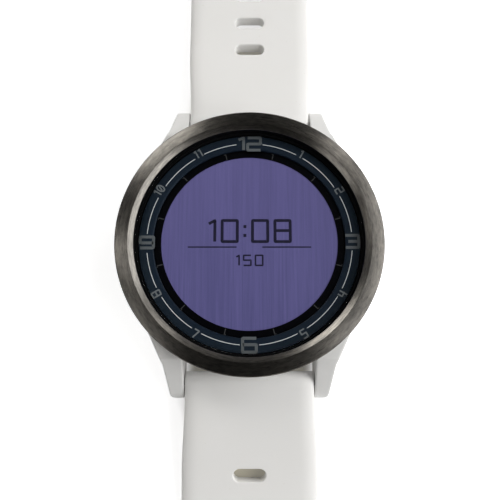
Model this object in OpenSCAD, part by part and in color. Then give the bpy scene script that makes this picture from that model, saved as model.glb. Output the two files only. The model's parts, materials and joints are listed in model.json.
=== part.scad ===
// Golf GPS watch: round plastic case, metal bezel, two-piece silicone strap with a pin buckle.
// Origin: centre of the case back's outer face. +Z runs up through the dial, +Y to 12 o'clock.

/* [Case] */
// Outside diameter of the plastic case
case_d = 43; // [41:0.5:52]
// Wall of the case beside the movement
case_wall = 2.5; // [2.3:0.1:3]
// Thickness of the back plate
back_t = 1.45; // [1.3:0.05:2]
// Height of the case's lower rim over the surface that the watch lies on
rim_lift = 0.5; // [0.4:0.05:0.8]

/* [Bezel and lens] */
// How far the bezel stands out past the case
bezel_overhang = 1; // [0.5:0.1:1.5]
// Height of the bezel's outer edge
bezel_edge_h = 1.45; // [1.2:0.05:2]
// Radial width of the bezel's brushed land
bezel_land = 2.1; // [1.6:0.1:2.5]
// Thickness of the mineral lens
lens_t = 1.25; // [1:0.05:1.6]

/* [Display] */
// Diameter of the visible round display
display_d = 30.1; // [26:0.1:31]
// Diameter of the display module behind it
module_d = 34.2; // [33:0.1:35]
// Thickness of the display glass
panel_t = 1; // [0.8:0.05:1.3]
// Thickness of the backlight behind the glass
backlight_t = 0.7; // [0.5:0.05:1]
// Width of the bare black zone between the display and the hour ring
mask_w = 1.25; // [0.8:0.05:1.6]
// Thickness of the hour ring
ring_t = 0.45; // [0.3:0.05:0.7]

/* [Movement] */
// Battery length, from 6 to 12 o'clock
battery_l = 24; // [18:0.5:24]
// Battery width
battery_w = 19; // [14:0.5:19]
// Battery thickness
battery_t = 2.7; // [2.5:0.1:4]
// Thickness of the circuit board
board_t = 0.8; // [0.6:0.1:1.2]
// Room between the board and the display carrier, for the chips
chip_room = 1.2; // [1.1:0.1:2]
// Distance of the charging contacts from the centre
contact_x = 13; // [11.5:0.25:13.5]
// Spacing of the charging contacts
contact_pitch = 2.5; // [2.2:0.1:2.8]

/* [Button] */
// Length of the side button
button_l = 7; // [5:0.5:9]
// Height of the side button
button_h = 2.8; // [2.4:0.1:3]
// Travel of the side button
button_travel = 0.5; // [0.3:0.05:0.55]

/* [Lugs and spring bars] */
// Width of the strap between the lugs
strap_lug_w = 22; // [18:0.5:24]
// Thickness of one lug at its tip
lug_tip_w = 2.5; // [2:0.1:3.5]
// Distance of the lug tip past the spring bar
lug_nose = 2.6; // [2.2:0.1:3.2]
// Outside diameter of the spring bars
bar_d = 1.5; // [1.3:0.1:1.8]
// Travel of a spring bar tip
tip_travel = 1.1; // [1.1:0.05:1.4]

/* [Strap] */
// Distance from the upper spring bar to the buckle pin
upper_len = 74.4; // [70:0.2:95]
// Distance from the lower spring bar to the strap's free end
lower_len = 116; // [100:1:140]
// Width of the strap at its widest, past the lugs
strap_wide_w = 23; // [21:0.5:25]
// Width of the strap along its narrow run
strap_run_w = 20; // [16:0.5:21]
// Thickness of the strap along its run
strap_t = 2.5; // [2:0.1:3]
// Thickness of the strap beside the spring bar
strap_root_t = 3.3; // [2.8:0.1:3.6]
// Length of one slot, across the strap
slot_l = 5.5; // [4.5:0.1:6.5]
// Width of one slot, along the strap
slot_w = 2.15; // [1.8:0.05:2.4]
// Spacing of the slots on the buckle half
upper_pitch = 5.9; // [5:0.1:6.2]
// Spacing of the slots on the long half
lower_pitch = 5.35; // [5:0.05:6]
// Number of slots on the buckle half
upper_slots = 5; // [3:1:5]
// Number of slots on the long half
lower_slots = 16; // [10:1:17]

/* [Buckle and keepers] */
// Diameter of the buckle pin
pin_d = 1.5; // [1.2:0.1:1.8]
// Thickness of the buckle's metal
buckle_t = 2.6; // [2:0.1:3]
// Distance from the buckle pin to the middle of the cross bar
buckle_l = 11.5; // [10:0.5:14]
// Width of the buckle's side arms
buckle_arm_w = 2.4; // [2:0.1:3]
// Width of the tongue
tongue_w = 4.6; // [3:0.1:4.8]
// Wall of the keepers
keeper_t = 1.1; // [0.8:0.1:1.5]
// Length of the keepers along the strap
keeper_l = 5.5; // [4:0.5:7]

/* [Hidden] */

$fn = 96;
eps = 0.01;
cut = 1;              // how far a cutting solid runs past what it cuts
fit = 0.05;           // gap of a close fit
gap = 0.1;            // gap between a loose piece and its seat

// Plan of the case
case_r = case_d / 2;
bore_r = case_r - case_wall;
seat_r = bore_r + 0.75;       // counterbore that takes the bezel's spigot
lens_seat_r = bore_r + 0.35;  // recess in the bezel that takes the lens
ledge_r = bore_r - 3.4;       // opening of the ledge that the back plate closes
carrier_r = bore_r - 0.2;
board_r = bore_r - 1.1;
bezel_r = case_r + bezel_overhang;

// Heights of the stack, from the back plate to the bezel
ledge_z = back_t + fit;
ledge_t = 0.8;
battery_z = back_t + 0.15;
pad_t = 0.7;
board_z = battery_z + battery_t + pad_t;
board_top = board_z + board_t;
carrier_z = board_top + chip_room;
carrier_floor = 0.4;
backlight_z = carrier_z + carrier_floor + fit;
panel_z = backlight_z + backlight_t;
carrier_top = panel_z + panel_t;
mask_t = 0.1;
ring_z = carrier_top + mask_t;
ring_top = ring_z + ring_t;
spigot_z = carrier_top - 0.15;
lens_ledge_z = ring_top + 0.25;
lens_gasket_t = 0.15;
lens_z = lens_ledge_z + lens_gasket_t;
lens_top = lens_z + lens_t;
seat_z = lens_ledge_z + 0.35;   // where the bezel sits on the case
edge_z = seat_z + bezel_edge_h; // top of the bezel's outer edge

// Back plate screws
screw_n = 4;
screw_circle_r = bore_r - 2;
screw_r = 0.5;
screw_head_r = 0.9;
boss_r = 1.6;
boss_top = ledge_z + 2.5;

// Board screws
post_angles = [90, 205, 300];
post_circle_r = board_r - 1.7;
post_r = 1.5;

// Side button, on the 3 o'clock side
button_z = board_z - 0.8;
pocket_x = case_r - 1.2;
stem_r = 0.7;
stem_end = bore_r - 0.9;
switch_x = stem_end - button_travel - fit;   // tip of the switch's plunger

// Lugs and spring bars
bar_y = case_r + 2.1;
bar_z = 3.8;
lug_slot = strap_lug_w + 0.3;
lug_tip_y = bar_y + lug_nose;
lug_nose_r = 2;
lug_slope = 35;
tube_len = strap_lug_w - 2.8;
tip_r = bar_d / 2 - 0.33;
barrel_r = 1.95;

// Strap run: the buckle half is held up by its keepers, the long half lies flat
keeper_gap = 0.2;
droop_len = 22;
upper_mid = keeper_t + keeper_gap + strap_t / 2;
lower_mid = strap_t / 2;
first_slot = 15.05;          // first slot, from the spring bar
flare_len = 15;
taper_from = 26;
taper_to = 44;
end_barrel_r = 1.7;
pin_y = bar_y + upper_len;
notch_w = tongue_w + 0.9;
keeper_fixed_y = pin_y - 12;
keeper_free_y = keeper_fixed_y - 11;

// Buckle
ear_in = strap_run_w / 2 + 0.3;
ear_out = ear_in + buckle_arm_w;
cross_y = pin_y + buckle_l;
cross_z = buckle_t / 2;
ear_r = 0.62 * buckle_t;
arm_rise = (upper_mid + ear_r - buckle_t) / buckle_l;  // slope of the side arms' top

// ---- helpers ----

function arc(c, r, a0, a1, n = 12) =
    [for (i = [0:n]) let (a = a0 + (a1 - a0) * i / n) c + r * [cos(a), sin(a)]];

function smooth(t) = let (k = min(1, max(0, t))) k * k * (3 - 2 * k);

function mix(a, b, t) = a + (b - a) * t;

// A ring of rectangular section
module ring(r_out, r_in, z0, z1) {
    rotate_extrude() translate([r_in, z0]) square([r_out - r_in, z1 - z0]);
}

// A rounded rectangle, centred
module round_rect(w, l, r) {
    polygon(concat(
        arc([w / 2 - r, l / 2 - r], r, 0, 90, 6), arc([r - w / 2, l / 2 - r], r, 90, 180, 6),
        arc([r - w / 2, r - l / 2], r, 180, 270, 6), arc([w / 2 - r, r - l / 2], r, 270, 360, 6)));
}

// A block with rounded corners, standing on z
module chip(x, y, z, w, l, h, r = 0.3) {
    translate([x, y, z]) linear_extrude(h) round_rect(w, l, r);
}

// A cylinder that runs along X
module rod(x0, x1, r, y = 0, z = 0) {
    translate([x0, y, z]) rotate([0, 90, 0]) cylinder(h = x1 - x0, r = r);
}

// A slot with round ends that lies across the strap
module slot_cut(l, w, h) {
    linear_extrude(h, center = true) {
        square([l - w, w], center = true);
        for (side = [-1, 1]) translate([side * (l - w) / 2, 0]) circle(d = w);
    }
}

// A wound spring along X, as one closed tube swept along a helix
module coil(x0, x1, r, wire_r, turns, per_turn = 10, sides = 6) {
    n = turns * per_turn;
    function centre(i) = let (a = 360 * i / per_turn) [mix(x0, x1, i / n), r * cos(a), r * sin(a)];
    function rim(i) = let (a = 360 * i / per_turn)
        [for (k = [0:sides - 1]) let (b = 360 * k / sides)
            centre(i) + wire_r * [sin(b), cos(b) * cos(a), cos(b) * sin(a)]];
    points = [for (i = [0:n]) each rim(i)];
    walls = [for (i = [0:n - 1], k = [0:sides - 1]) let (j = (k + 1) % sides)
        [i * sides + k, i * sides + j, (i + 1) * sides + j, (i + 1) * sides + k]];
    first = [for (k = [0:sides - 1]) sides - 1 - k];
    last = [for (k = [0:sides - 1]) n * sides + k];
    polyhedron(points, concat(walls, [first, last]));
}

// Four places on the back plate's screw circle
module at_screws() {
    for (i = [0:screw_n - 1]) rotate(45 + 360 * i / screw_n) translate([screw_circle_r, 0, 0]) children();
}

// Three places for the board's posts and screws
module at_posts() {
    for (a = post_angles) rotate(a) translate([post_circle_r, 0, 0]) children();
}

// ---- case ----

module lug_pair() {
    in_x = lug_slot / 2;
    tip_x = in_x + lug_tip_w;
    root_x = tip_x + 0.9;
    corner = 0.8;
    nose = [lug_tip_y - lug_nose_r, rim_lift + 0.1 + lug_nose_r];
    rise = 7;
    top = nose + lug_nose_r * [sin(lug_slope), cos(lug_slope)] + rise * [-cos(lug_slope), sin(lug_slope)];
    plan = concat(
        [[in_x, 0], [in_x, lug_tip_y + cut]],
        [[tip_x - corner, lug_tip_y + cut]],
        [[tip_x - corner, lug_tip_y]], arc([tip_x - corner, lug_tip_y - corner], corner, 90, 10, 6),
        [[root_x, case_r - 1], [root_x + 2.6, case_r - 6.5], [root_x, 0]]);
    side = concat(
        [[case_r - 8, nose[1] - lug_nose_r]],
        arc(nose, lug_nose_r, -90, 90 - lug_slope, 14),
        [top, [case_r - 8, top[1]]]);
    for (half = [0, 1]) mirror([half, 0, 0]) intersection() {
        linear_extrude(seat_z) polygon(plan);
        rotate([90, 0, 90]) linear_extrude(root_x + 5) polygon(side);
    }
}

module case_shell() {
    rotate_extrude() polygon([
        [0, rim_lift], [bore_r - 0.2, rim_lift], [case_r - 0.35, rim_lift + 1.4], [case_r, rim_lift + 2.1],
        [case_r, seat_z - 0.6], [case_r - 0.3, seat_z], [0, seat_z]]);
}

module case_cavity() {
    mid_ledge = bore_r - 0.8;
    rotate_extrude() polygon([
        [0, rim_lift - cut], [bore_r - 0.45, rim_lift - cut], [bore_r - 0.45, ledge_z],
        [ledge_r, ledge_z], [ledge_r, ledge_z + ledge_t], [bore_r, ledge_z + ledge_t],
        [bore_r, carrier_z - 0.6], [mid_ledge, carrier_z - 0.6], [mid_ledge, carrier_z],
        [bore_r, carrier_z], [bore_r, spigot_z - gap], [seat_r, spigot_z - gap],
        [seat_r, seat_z + cut], [0, seat_z + cut]]);
}

// Bosses inside the case that take the back plate's screws
module case_bosses() {
    at_screws() {
        translate([0, 0, ledge_z]) cylinder(h = boss_top - ledge_z, r = boss_r);
        translate([0, -1, ledge_z]) cube([bore_r + 0.3 - screw_circle_r, 2, boss_top - ledge_z]);
    }
}

module button_shape(grow) {
    w = button_l + 2 * grow;
    h = button_h + 2 * grow;
    translate([0, 0, button_z]) rotate([90, 0, 90]) linear_extrude(bezel_r) {
        square([w - h, h], center = true);
        for (side = [-1, 1]) translate([side * (w - h) / 2, 0]) circle(d = h);
    }
}

module case_body() {
    color("#f1f1ee") difference() {
        union() {
            difference() {
                union() {
                    case_shell();
                    lug_pair();
                    mirror([0, 1, 0]) lug_pair();
                }
                case_cavity();
            }
            case_bosses();
        }
        at_screws() translate([0, 0, rim_lift]) cylinder(h = boss_top - rim_lift - 0.3, r = screw_r + fit);
        for (side = [-1, 1])
            rod(-lug_slot / 2 - 1.45, lug_slot / 2 + 1.45, tip_r + 0.08, side * bar_y, bar_z);
        intersection() {
            button_shape(0.2);
            translate([pocket_x, -button_l, 0]) cube([case_r, 2 * button_l, seat_z]);
        }
        rod(bore_r - cut, case_r, stem_r + fit, 0, button_z);
        rod(bore_r - cut, bore_r + 0.7, stem_r + 0.45, 0, button_z);
    }
}

module case_back() {
    edge_r = bore_r - 0.6;
    color("#3a3b3d") difference() {
        rotate_extrude() polygon([
            [0, 0], [edge_r - 0.4, 0], [edge_r, 0.4], [edge_r, back_t], [0, back_t]]);
        ring(ledge_r + 0.7, ledge_r + 0.15, back_t - 0.35, back_t + cut);
        at_screws() {
            translate([0, 0, -cut]) cylinder(h = back_t + 2 * cut, r = screw_r + gap);
            translate([0, 0, -cut]) cylinder(h = cut + 0.75, r = screw_head_r + gap);
        }
        contact_row() translate([0, 0, -cut]) cylinder(h = back_t + 2 * cut, r = 0.82);
        translate([-contact_x, 0, 0]) linear_extrude(0.6, center = true)
            round_rect(3, 3 * contact_pitch + 3, 1.4);
    }
}

module contact_row() {
    for (i = [-1.5:1:1.5]) translate([-contact_x, i * contact_pitch, 0]) children();
}

module back_gasket() {
    color("#20242a") ring(ledge_r + 0.65, ledge_r + 0.2, back_t - 0.32, ledge_z - 0.02);
}

module back_screws() {
    head_z = 0.25;
    color("#b9bcc0") at_screws() difference() {
        union() {
            translate([0, 0, head_z]) cylinder(h = 0.5, r = screw_head_r);
            translate([0, 0, head_z]) cylinder(h = boss_top - 0.7 - head_z, r = screw_r);
        }
        for (a = [0, 90]) rotate(a) translate([-0.55, -0.12, head_z - cut]) cube([1.1, 0.24, cut + 0.25]);
    }
}

module charge_contacts() {
    color("#d9b25c") contact_row() {
        translate([0, 0, 0.15]) cylinder(h = back_t, r = 0.8);
        translate([0, 0, 0.15 + back_t]) cylinder(h = 0.35, r = 0.55);
    }
}

module contact_pins() {
    foot = 0.15 + back_t + 0.35;
    shoulder = board_z - 2;
    color("#cfa64f") contact_row() {
        translate([0, 0, foot]) cylinder(h = shoulder - foot + eps, r = 0.35);
        translate([0, 0, shoulder]) cylinder(h = board_z - shoulder, r = 0.65);
    }
}

// ---- bezel and lens ----

module bezel() {
    spigot_r = seat_r - fit;
    spigot_in = bore_r - fit;
    groove_z = spigot_z + 0.35;
    land_in = bezel_r - 0.15 - bezel_land;
    color("#77777a") rotate_extrude() polygon([
        [bezel_r - 0.3, seat_z], [bezel_r, seat_z + 0.3], [bezel_r, edge_z - 0.15], [bezel_r - 0.15, edge_z],
        [land_in, edge_z + 0.3], [lens_seat_r, lens_top + 0.15], [lens_seat_r, lens_ledge_z],
        [spigot_in, lens_ledge_z], [spigot_in, spigot_z], [spigot_r, spigot_z],
        [spigot_r, groove_z], [spigot_r - 0.3, groove_z], [spigot_r - 0.3, groove_z + 0.55],
        [spigot_r, groove_z + 0.55], [spigot_r, seat_z]]);
}

module bezel_gasket() {
    groove_z = spigot_z + 0.35;
    color("#20242a") ring(seat_r - 0.02, seat_r - fit - 0.28, groove_z + 0.03, groove_z + 0.5);
}

module lens_gasket() {
    color("#101114") ring(lens_seat_r - fit, bore_r - fit, lens_ledge_z, lens_z);
}

module cover_lens() {
    lens_r = lens_seat_r - fit;
    color([0.8, 0.86, 0.9, 0.3]) rotate_extrude() polygon([
        [0, lens_z], [lens_r, lens_z], [lens_r, lens_top - 0.12], [lens_r - 0.12, lens_top], [0, lens_top]]);
}

// ---- display ----

module hour_ring() {
    in_r = display_d / 2 + mask_w;
    out_r = bore_r - 0.2;
    color("#0c1620") rotate_extrude() polygon([
        [in_r + 0.15, ring_z], [out_r, ring_z], [out_r, ring_top], [in_r + 0.15, ring_top],
        [in_r, ring_top - 0.15], [in_r, ring_z + 0.1]]);
}

module display_mask() {
    color("#0a0a0d") ring(carrier_r, display_d / 2, carrier_top, ring_z);
}

module display_panel() {
    flat_y = module_d / 2 - 0.8;
    color("#57538a") difference() {
        translate([0, 0, panel_z]) cylinder(h = panel_t, r = module_d / 2);
        translate([-module_d / 2, -flat_y - module_d, panel_z - cut])
            cube([module_d, module_d, panel_t + 2 * cut]);
    }
}

module backlight() {
    color("#dfe3e6") difference() {
        translate([0, 0, backlight_z]) cylinder(h = backlight_t, r = module_d / 2 - 0.1);
        translate([0, -module_d / 2 - 1.2, backlight_z]) cube([12, 4, 3 * backlight_t], center = true);
    }
}

module display_carrier() {
    color("#2b2d30") difference() {
        union() {
            translate([0, 0, carrier_z]) cylinder(h = carrier_top - carrier_z, r = carrier_r);
            at_posts() translate([0, 0, board_top]) cylinder(h = carrier_z - board_top + eps, r = post_r);
        }
        translate([0, 0, carrier_z + carrier_floor]) cylinder(h = 5, r = module_d / 2 + gap);
        translate([0, flex_y + 1.2, carrier_z]) cube([9.6, 4, 1.2], center = true);
        at_posts() translate([0, 0, board_top - cut]) cylinder(h = carrier_z - board_top + cut, r = screw_r + fit);
    }
}

// Ribbon from the display's back, down through the carrier, to the board's socket
flex_y = 0.6 - module_d / 2 + 3;
flex_t = 0.12;
socket_y = flex_y + 2.6;
socket_h = chip_room - 0.3;

module display_flex() {
    low = board_top + socket_h;
    high = backlight_z - flex_t - 0.03;
    color("#b06a2c") translate([-4, 0, 0]) rotate([90, 0, 90]) linear_extrude(8) polygon([
        [flex_y, low], [socket_y + 1, low], [socket_y + 1, low + flex_t], [flex_y + flex_t, low + flex_t],
        [flex_y + flex_t, high], [flex_y + 2.4, high], [flex_y + 2.4, high + flex_t], [flex_y, high + flex_t]]);
}

// ---- movement ----

module main_board() {
    color("#1f5c3b") difference() {
        translate([0, 0, board_z]) cylinder(h = board_t, r = board_r);
        at_posts() translate([0, 0, board_z - cut]) cylinder(h = board_t + 2 * cut, r = screw_r + gap);
        translate([stem_end - 1, -2.4, board_z - cut]) cube([case_r, 4.8, board_t + 2 * cut]);
    }
}

module satellite_receiver() {
    color("#c4c7ca") difference() {
        chip(-6.2, 5.4, board_top, 11, 9, 1, 0.6);
        for (x = [-9.5:2.2:-2.9], y = [3.2, 5.4, 7.6])
            translate([x, y, board_top + 0.9]) cylinder(h = cut, r = 0.4);
    }
}

module board_chips() {
    color("#222427") {
        chip(5.2, 5.6, board_top, 7, 7, 0.85);
        chip(5.6, -2.2, board_top, 6, 5, 0.8);
        chip(11.4, 3.2, board_top, 3, 3, 0.75);
        chip(11.6, -2.4, board_top, 2.5, 2, 0.6);
        for (i = [0:5]) chip(-9 + 3.6 * i, 12.2 - 0.24 * abs(i - 2.5) * abs(i - 2.5), board_top, 1.6, 0.8, 0.6, 0.15);
        for (i = [0:3]) chip(9.6 + 1.5 * (i % 2), -5.9 - 1.3 * floor(i / 2), board_top, 1, 0.5, 0.5, 0.1);
        chip(0, socket_y, board_top, 8.6, 2.2, socket_h, 0.2);
    }
}

module radio_module() {
    color("#a9adb1") {
        chip(-7.4, -4.6, board_top, 6.5, 5.5, 0.9, 0.4);
        chip(-12.4, -3.4, board_top, 1.6, 3.2, 0.7, 0.1);
    }
}

module board_screws() {
    head_z = board_z - 0.6;
    color("#b9bcc0") at_posts() difference() {
        union() {
            translate([0, 0, head_z]) cylinder(h = board_z - head_z, r = 1);
            translate([0, 0, head_z]) cylinder(h = carrier_z - 0.2 - head_z, r = screw_r);
        }
        for (a = [0, 90]) rotate(a) translate([-0.6, -0.12, head_z - cut]) cube([1.2, 0.24, cut + 0.3]);
    }
}

module satellite_antenna() {
    from = 112;
    span = 136;
    low = boss_top + 0.2;
    color("#c98b45") difference() {
        rotate(from) rotate_extrude(angle = span)
            translate([bore_r - 0.4, low]) square([0.3, carrier_z - 0.8 - low]);
        for (a = [from + 12:16:from + span - 12]) rotate(a) translate([bore_r - 0.25, 0, low])
            cube([2, 0.5, 1.4], center = true);
    }
}

module battery() {
    color("#cfd3d6") {
        chip(0, 0, battery_z, battery_w, battery_l - 2, battery_t, 1.2);
        chip(0, battery_l / 2 - 1 + eps, battery_z + 0.6, battery_w - 2, 2, 1.2, 0.2);
    }
}

module battery_pad() {
    color("#3d3f42") chip(0, 0, battery_z + battery_t, battery_w - 3, battery_l - 6, pad_t, 1);
}

plug_x = -battery_w / 2 - 3;

module battery_plug() {
    color("#e9e4d8") difference() {
        chip(plug_x, 7.2, board_z - 1.6, 2.6, 3.4, 1.6, 0.2);
        for (y = [6.4, 8]) rod(plug_x, -battery_w / 2, 0.32, y, board_z - 0.9);
    }
}

module battery_leads() {
    color("#b8342c") for (y = [6.4, 8]) rod(plug_x + 0.1, -battery_w / 2 - 0.02, 0.28, y, board_z - 0.9);
}

module vibration_motor() {
    color("#bfc2c5") translate([battery_w / 2 + 3.2, -6.2, board_z - 2.6]) {
        cylinder(h = 2.6, r = 2.9);
        translate([0, 0, -0.15]) cylinder(h = 0.2, r = 1.2);
    }
}

module buzzer() {
    color("#2a2c2f") difference() {
        chip(battery_w / 2 + 3.5, 6.6, board_z - 2.2, 5.4, 5.4, 2.2, 0.5);
        translate([battery_w / 2 + 3.5, 6.6, board_z - 2.2 - cut]) cylinder(h = cut + 0.5, r = 0.7);
    }
}

module button_switch() {
    body_x = switch_x - 0.6;
    color("#8f9296") {
        translate([body_x - 2.4, -2, board_z - 1.6]) cube([2.4, 4, 1.6]);
        rod(body_x - 0.2, switch_x, 0.55, 0, button_z);
    }
}

// ---- side button ----

module side_button() {
    face_r = bezel_r - 0.3;
    back_x = pocket_x + button_travel + 0.15;
    clip_x = bore_r - 0.4;
    color("#ececea") difference() {
        union() {
            intersection() {
                button_shape(0);
                cylinder(h = seat_z, r = face_r);
                translate([back_x, -button_l, 0]) cube([case_r, 2 * button_l, seat_z]);
            }
            rod(stem_end, back_x + 0.9, stem_r, 0, button_z);
        }
        difference() {
            rod(back_x - cut, back_x + 0.6, 1.15, 0, button_z);
            rod(back_x - 2 * cut, back_x + 2, stem_r, 0, button_z);
        }
        difference() {
            rod(clip_x, clip_x + 0.25, 2, 0, button_z);
            rod(clip_x - cut, clip_x + cut, 0.45, 0, button_z);
        }
    }
}

module button_clip() {
    clip_x = bore_r - 0.4;
    color("#aeb1b5") difference() {
        rod(clip_x + 0.02, clip_x + 0.23, 1.4, 0, button_z);
        rod(clip_x - cut, clip_x + cut, 0.47, 0, button_z);
        translate([clip_x, 0, button_z - 1]) cube([1, 0.8, 2], center = true);
    }
}

module button_seal() {
    color("#20242a") difference() {
        rod(bore_r + 0.12, bore_r + 0.62, stem_r + 0.42, 0, button_z);
        rod(bore_r - cut, bore_r + 2, stem_r + 0.03, 0, button_z);
    }
}

module button_spring() {
    wire = 0.1;
    mean_r = stem_r + 0.06 + wire + 0.02;
    tall = button_travel + 0.7;
    color("#c2c5c8") translate([0, 0, button_z])
        coil(pocket_x + wire + 0.02, pocket_x + tall - wire, mean_r, wire, 3, 14);
}

// ---- spring bars, drawn for the 12 o'clock side ----

lever_x = tube_len / 2 - 3.1;
lever_foot = 0.6;   // how far the release tip runs past its lever
tip_inner = 1.8;    // how deep the plain tip sits in the tube

module at_bar(side) {
    mirror([0, side < 0 ? 1 : 0, 0]) translate([0, bar_y, bar_z]) children();
}

module bar_tube() {
    color("#b4b7bb") difference() {
        rod(-tube_len / 2, tube_len / 2, bar_d / 2);
        rod(-tube_len, tube_len, tip_r + 0.14);
        translate([lever_x - tip_travel - 0.35, -0.4, -bar_d])
            cube([tip_travel + 0.7, 0.8, bar_d]);
    }
}

module bar_spring() {
    wire = 0.07;
    left = tip_inner - tube_len / 2 + fit + wire;
    right = lever_x - lever_foot - fit - wire;
    color("#c2c5c8") coil(left, right, tip_r - wire, wire, 12, 10);
}

// A tip's far end reaches into the lug; its collar holds it inside the tube's mouth
module tip_shape(inner_x) {
    reach = lug_slot / 2 + 1.1;
    rod(inner_x, reach - 0.15, tip_r);
    translate([reach - 0.15, 0, 0]) rotate([0, 90, 0]) cylinder(h = 0.15, r1 = tip_r, r2 = tip_r - 0.12);
    rod(tube_len / 2 + tip_travel + 0.08, tube_len / 2 + tip_travel + 0.25, bar_d / 2 - 0.04);
}

module bar_tip() {
    color("#b4b7bb") mirror([1, 0, 0]) tip_shape(tube_len / 2 - tip_inner);
}

// The tip that a finger draws in, with its small lever under the strap
module bar_release() {
    color("#b4b7bb") {
        tip_shape(lever_x - lever_foot);
        translate([lever_x, 0, -barrel_r - 0.1]) cylinder(h = barrel_r + 0.1, r = 0.3);
        translate([lever_x, 0, -barrel_r - 0.1]) linear_extrude(0.45) round_rect(1, 1.3, 0.3);
    }
}

// ---- strap ----

// Half width of the strap at a distance u from the spring bar
function half_width(u) = u < flare_len
    ? mix(strap_lug_w, strap_wide_w, smooth((u - 2) / (flare_len - 2))) / 2
    : mix(strap_wide_w, strap_run_w, smooth((u - taper_from) / (taper_to - taper_from))) / 2;

// Middle height and half thickness at a distance u from the spring bar
function mid_height(u, run) = mix(bar_z, run, smooth(u / droop_len));
function half_thick(u) = mix(strap_root_t, strap_t, smooth(u / droop_len)) / 2;

bends = [for (i = [0:12]) droop_len * i / 12];
flares = concat([0, 2, 4.6, 7.2, 9.8, 12.4], [for (i = [0:8]) mix(taper_from, taper_to, i / 8)]);

module strap_profile(length, run) {
    tops = concat([for (u = bends) [u, mid_height(u, run) + half_thick(u)]], [[length, run + strap_t / 2]]);
    feet = concat([for (u = bends) [u, mid_height(u, run) - half_thick(u)]], [[length, run - strap_t / 2]]);
    polygon(concat(tops, [for (i = [len(feet) - 1:-1:0]) feet[i]]));
}

// One strap half along +Y from its spring bar, with a bore, slots and a hollow for the release lever
module strap_blank(length, run, slots, pitch, end_r) {
    right = [for (u = flares) [half_width(u), u]];
    tip = concat(arc([strap_run_w / 2 - end_r, length - end_r], end_r, 0, 90, 10),
        arc([end_r - strap_run_w / 2, length - end_r], end_r, 90, 180, 10));
    left = [for (i = [len(flares) - 1:-1:0]) [-half_width(flares[i]), flares[i]]];
    difference() {
        union() {
            intersection() {
                linear_extrude(bar_z + barrel_r + cut) polygon(concat(right, tip, left));
                rotate([90, 0, 90]) linear_extrude(2 * strap_wide_w, center = true) strap_profile(length, run);
            }
            rod(-strap_lug_w / 2, strap_lug_w / 2, barrel_r, 0, bar_z);
        }
        rod(-strap_lug_w, strap_lug_w, bar_d / 2 + fit, 0, bar_z);
        for (i = [0:slots - 1]) translate([0, first_slot + pitch * i, run]) slot_cut(slot_l, slot_w, 12);
        translate([lever_x - tip_travel - 1.2, -3, 0]) cube([tip_travel + 2.4, 4.4, bar_z - 0.2]);
    }
}

module strap_upper() {
    color("#f4f4f2") translate([0, bar_y, 0]) difference() {
        union() {
            strap_blank(upper_len, upper_mid, upper_slots, upper_pitch, 0.2);
            rod(-strap_run_w / 2, strap_run_w / 2, end_barrel_r, upper_len, upper_mid);
        }
        rod(-strap_run_w, strap_run_w, pin_d / 2 + gap, upper_len, upper_mid);
        translate([-notch_w / 2, upper_len - 3.6, 0]) cube([notch_w, 8, 9]);
    }
}

module strap_lower() {
    color("#f4f4f2") mirror([0, 1, 0]) translate([0, bar_y, 0])
        strap_blank(lower_len, lower_mid, lower_slots, lower_pitch, 8);
}

module upper_bar_tube() { at_bar(1) bar_tube(); }
module upper_bar_spring() { at_bar(1) bar_spring(); }
module upper_bar_tip() { at_bar(1) bar_tip(); }
module upper_bar_release() { at_bar(1) bar_release(); }
module lower_bar_tube() { at_bar(-1) bar_tube(); }
module lower_bar_spring() { at_bar(-1) bar_spring(); }
module lower_bar_tip() { at_bar(-1) bar_tip(); }
module lower_bar_release() { at_bar(-1) bar_release(); }

// ---- keepers ----

// A loop round the strap, with room for the strap's tail over it
module keeper(y) {
    in_w = strap_run_w + 2 * keeper_gap;
    in_h = 2 * strap_t + 3 * keeper_gap;
    color("#f4f4f2") translate([0, y + keeper_l / 2, keeper_t + in_h / 2])
        rotate([90, 0, 0]) linear_extrude(keeper_l) difference() {
            round_rect(in_w + 2 * keeper_t, in_h + 2 * keeper_t, 1.6);
            round_rect(in_w, in_h, 0.5);
        }
}

module keeper_fixed() { keeper(keeper_fixed_y); }
module keeper_free() { keeper(keeper_free_y); }

// ---- buckle ----

module buckle_frame() {
    back = pin_y - buckle_t * 0.65;
    front = cross_y + buckle_t / 2;
    corner = 3.2;
    window_r = 1.4;
    window_y = cross_y - buckle_t / 2;
    plan = concat(
        [[ear_out, back]], arc([ear_out - corner, front - corner], corner, 0, 90, 10),
        arc([corner - ear_out, front - corner], corner, 90, 180, 10), [[-ear_out, back], [-ear_in, back]],
        arc([window_r - ear_in, window_y - window_r], window_r, 180, 90, 6),
        arc([ear_in - window_r, window_y - window_r], window_r, 90, 0, 6), [[ear_in, back]]);
    side = concat(
        arc([pin_y, upper_mid], ear_r, 80, 264, 14),
        arc([cross_y, cross_z], buckle_t / 2, -96, 84, 14));
    color("#a9abad") difference() {
        intersection() {
            linear_extrude(3 * buckle_t) polygon(plan);
            rotate([90, 0, 90]) linear_extrude(2 * ear_out + cut, center = true) polygon(side);
        }
        rod(-ear_out - cut, ear_out + cut, pin_d / 2 + 0.03, pin_y, upper_mid);
    }
}

module buckle_pin() {
    color("#c6c8ca") rod(0.1 - ear_out, ear_out - 0.1, pin_d / 2, pin_y, upper_mid);
}

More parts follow.
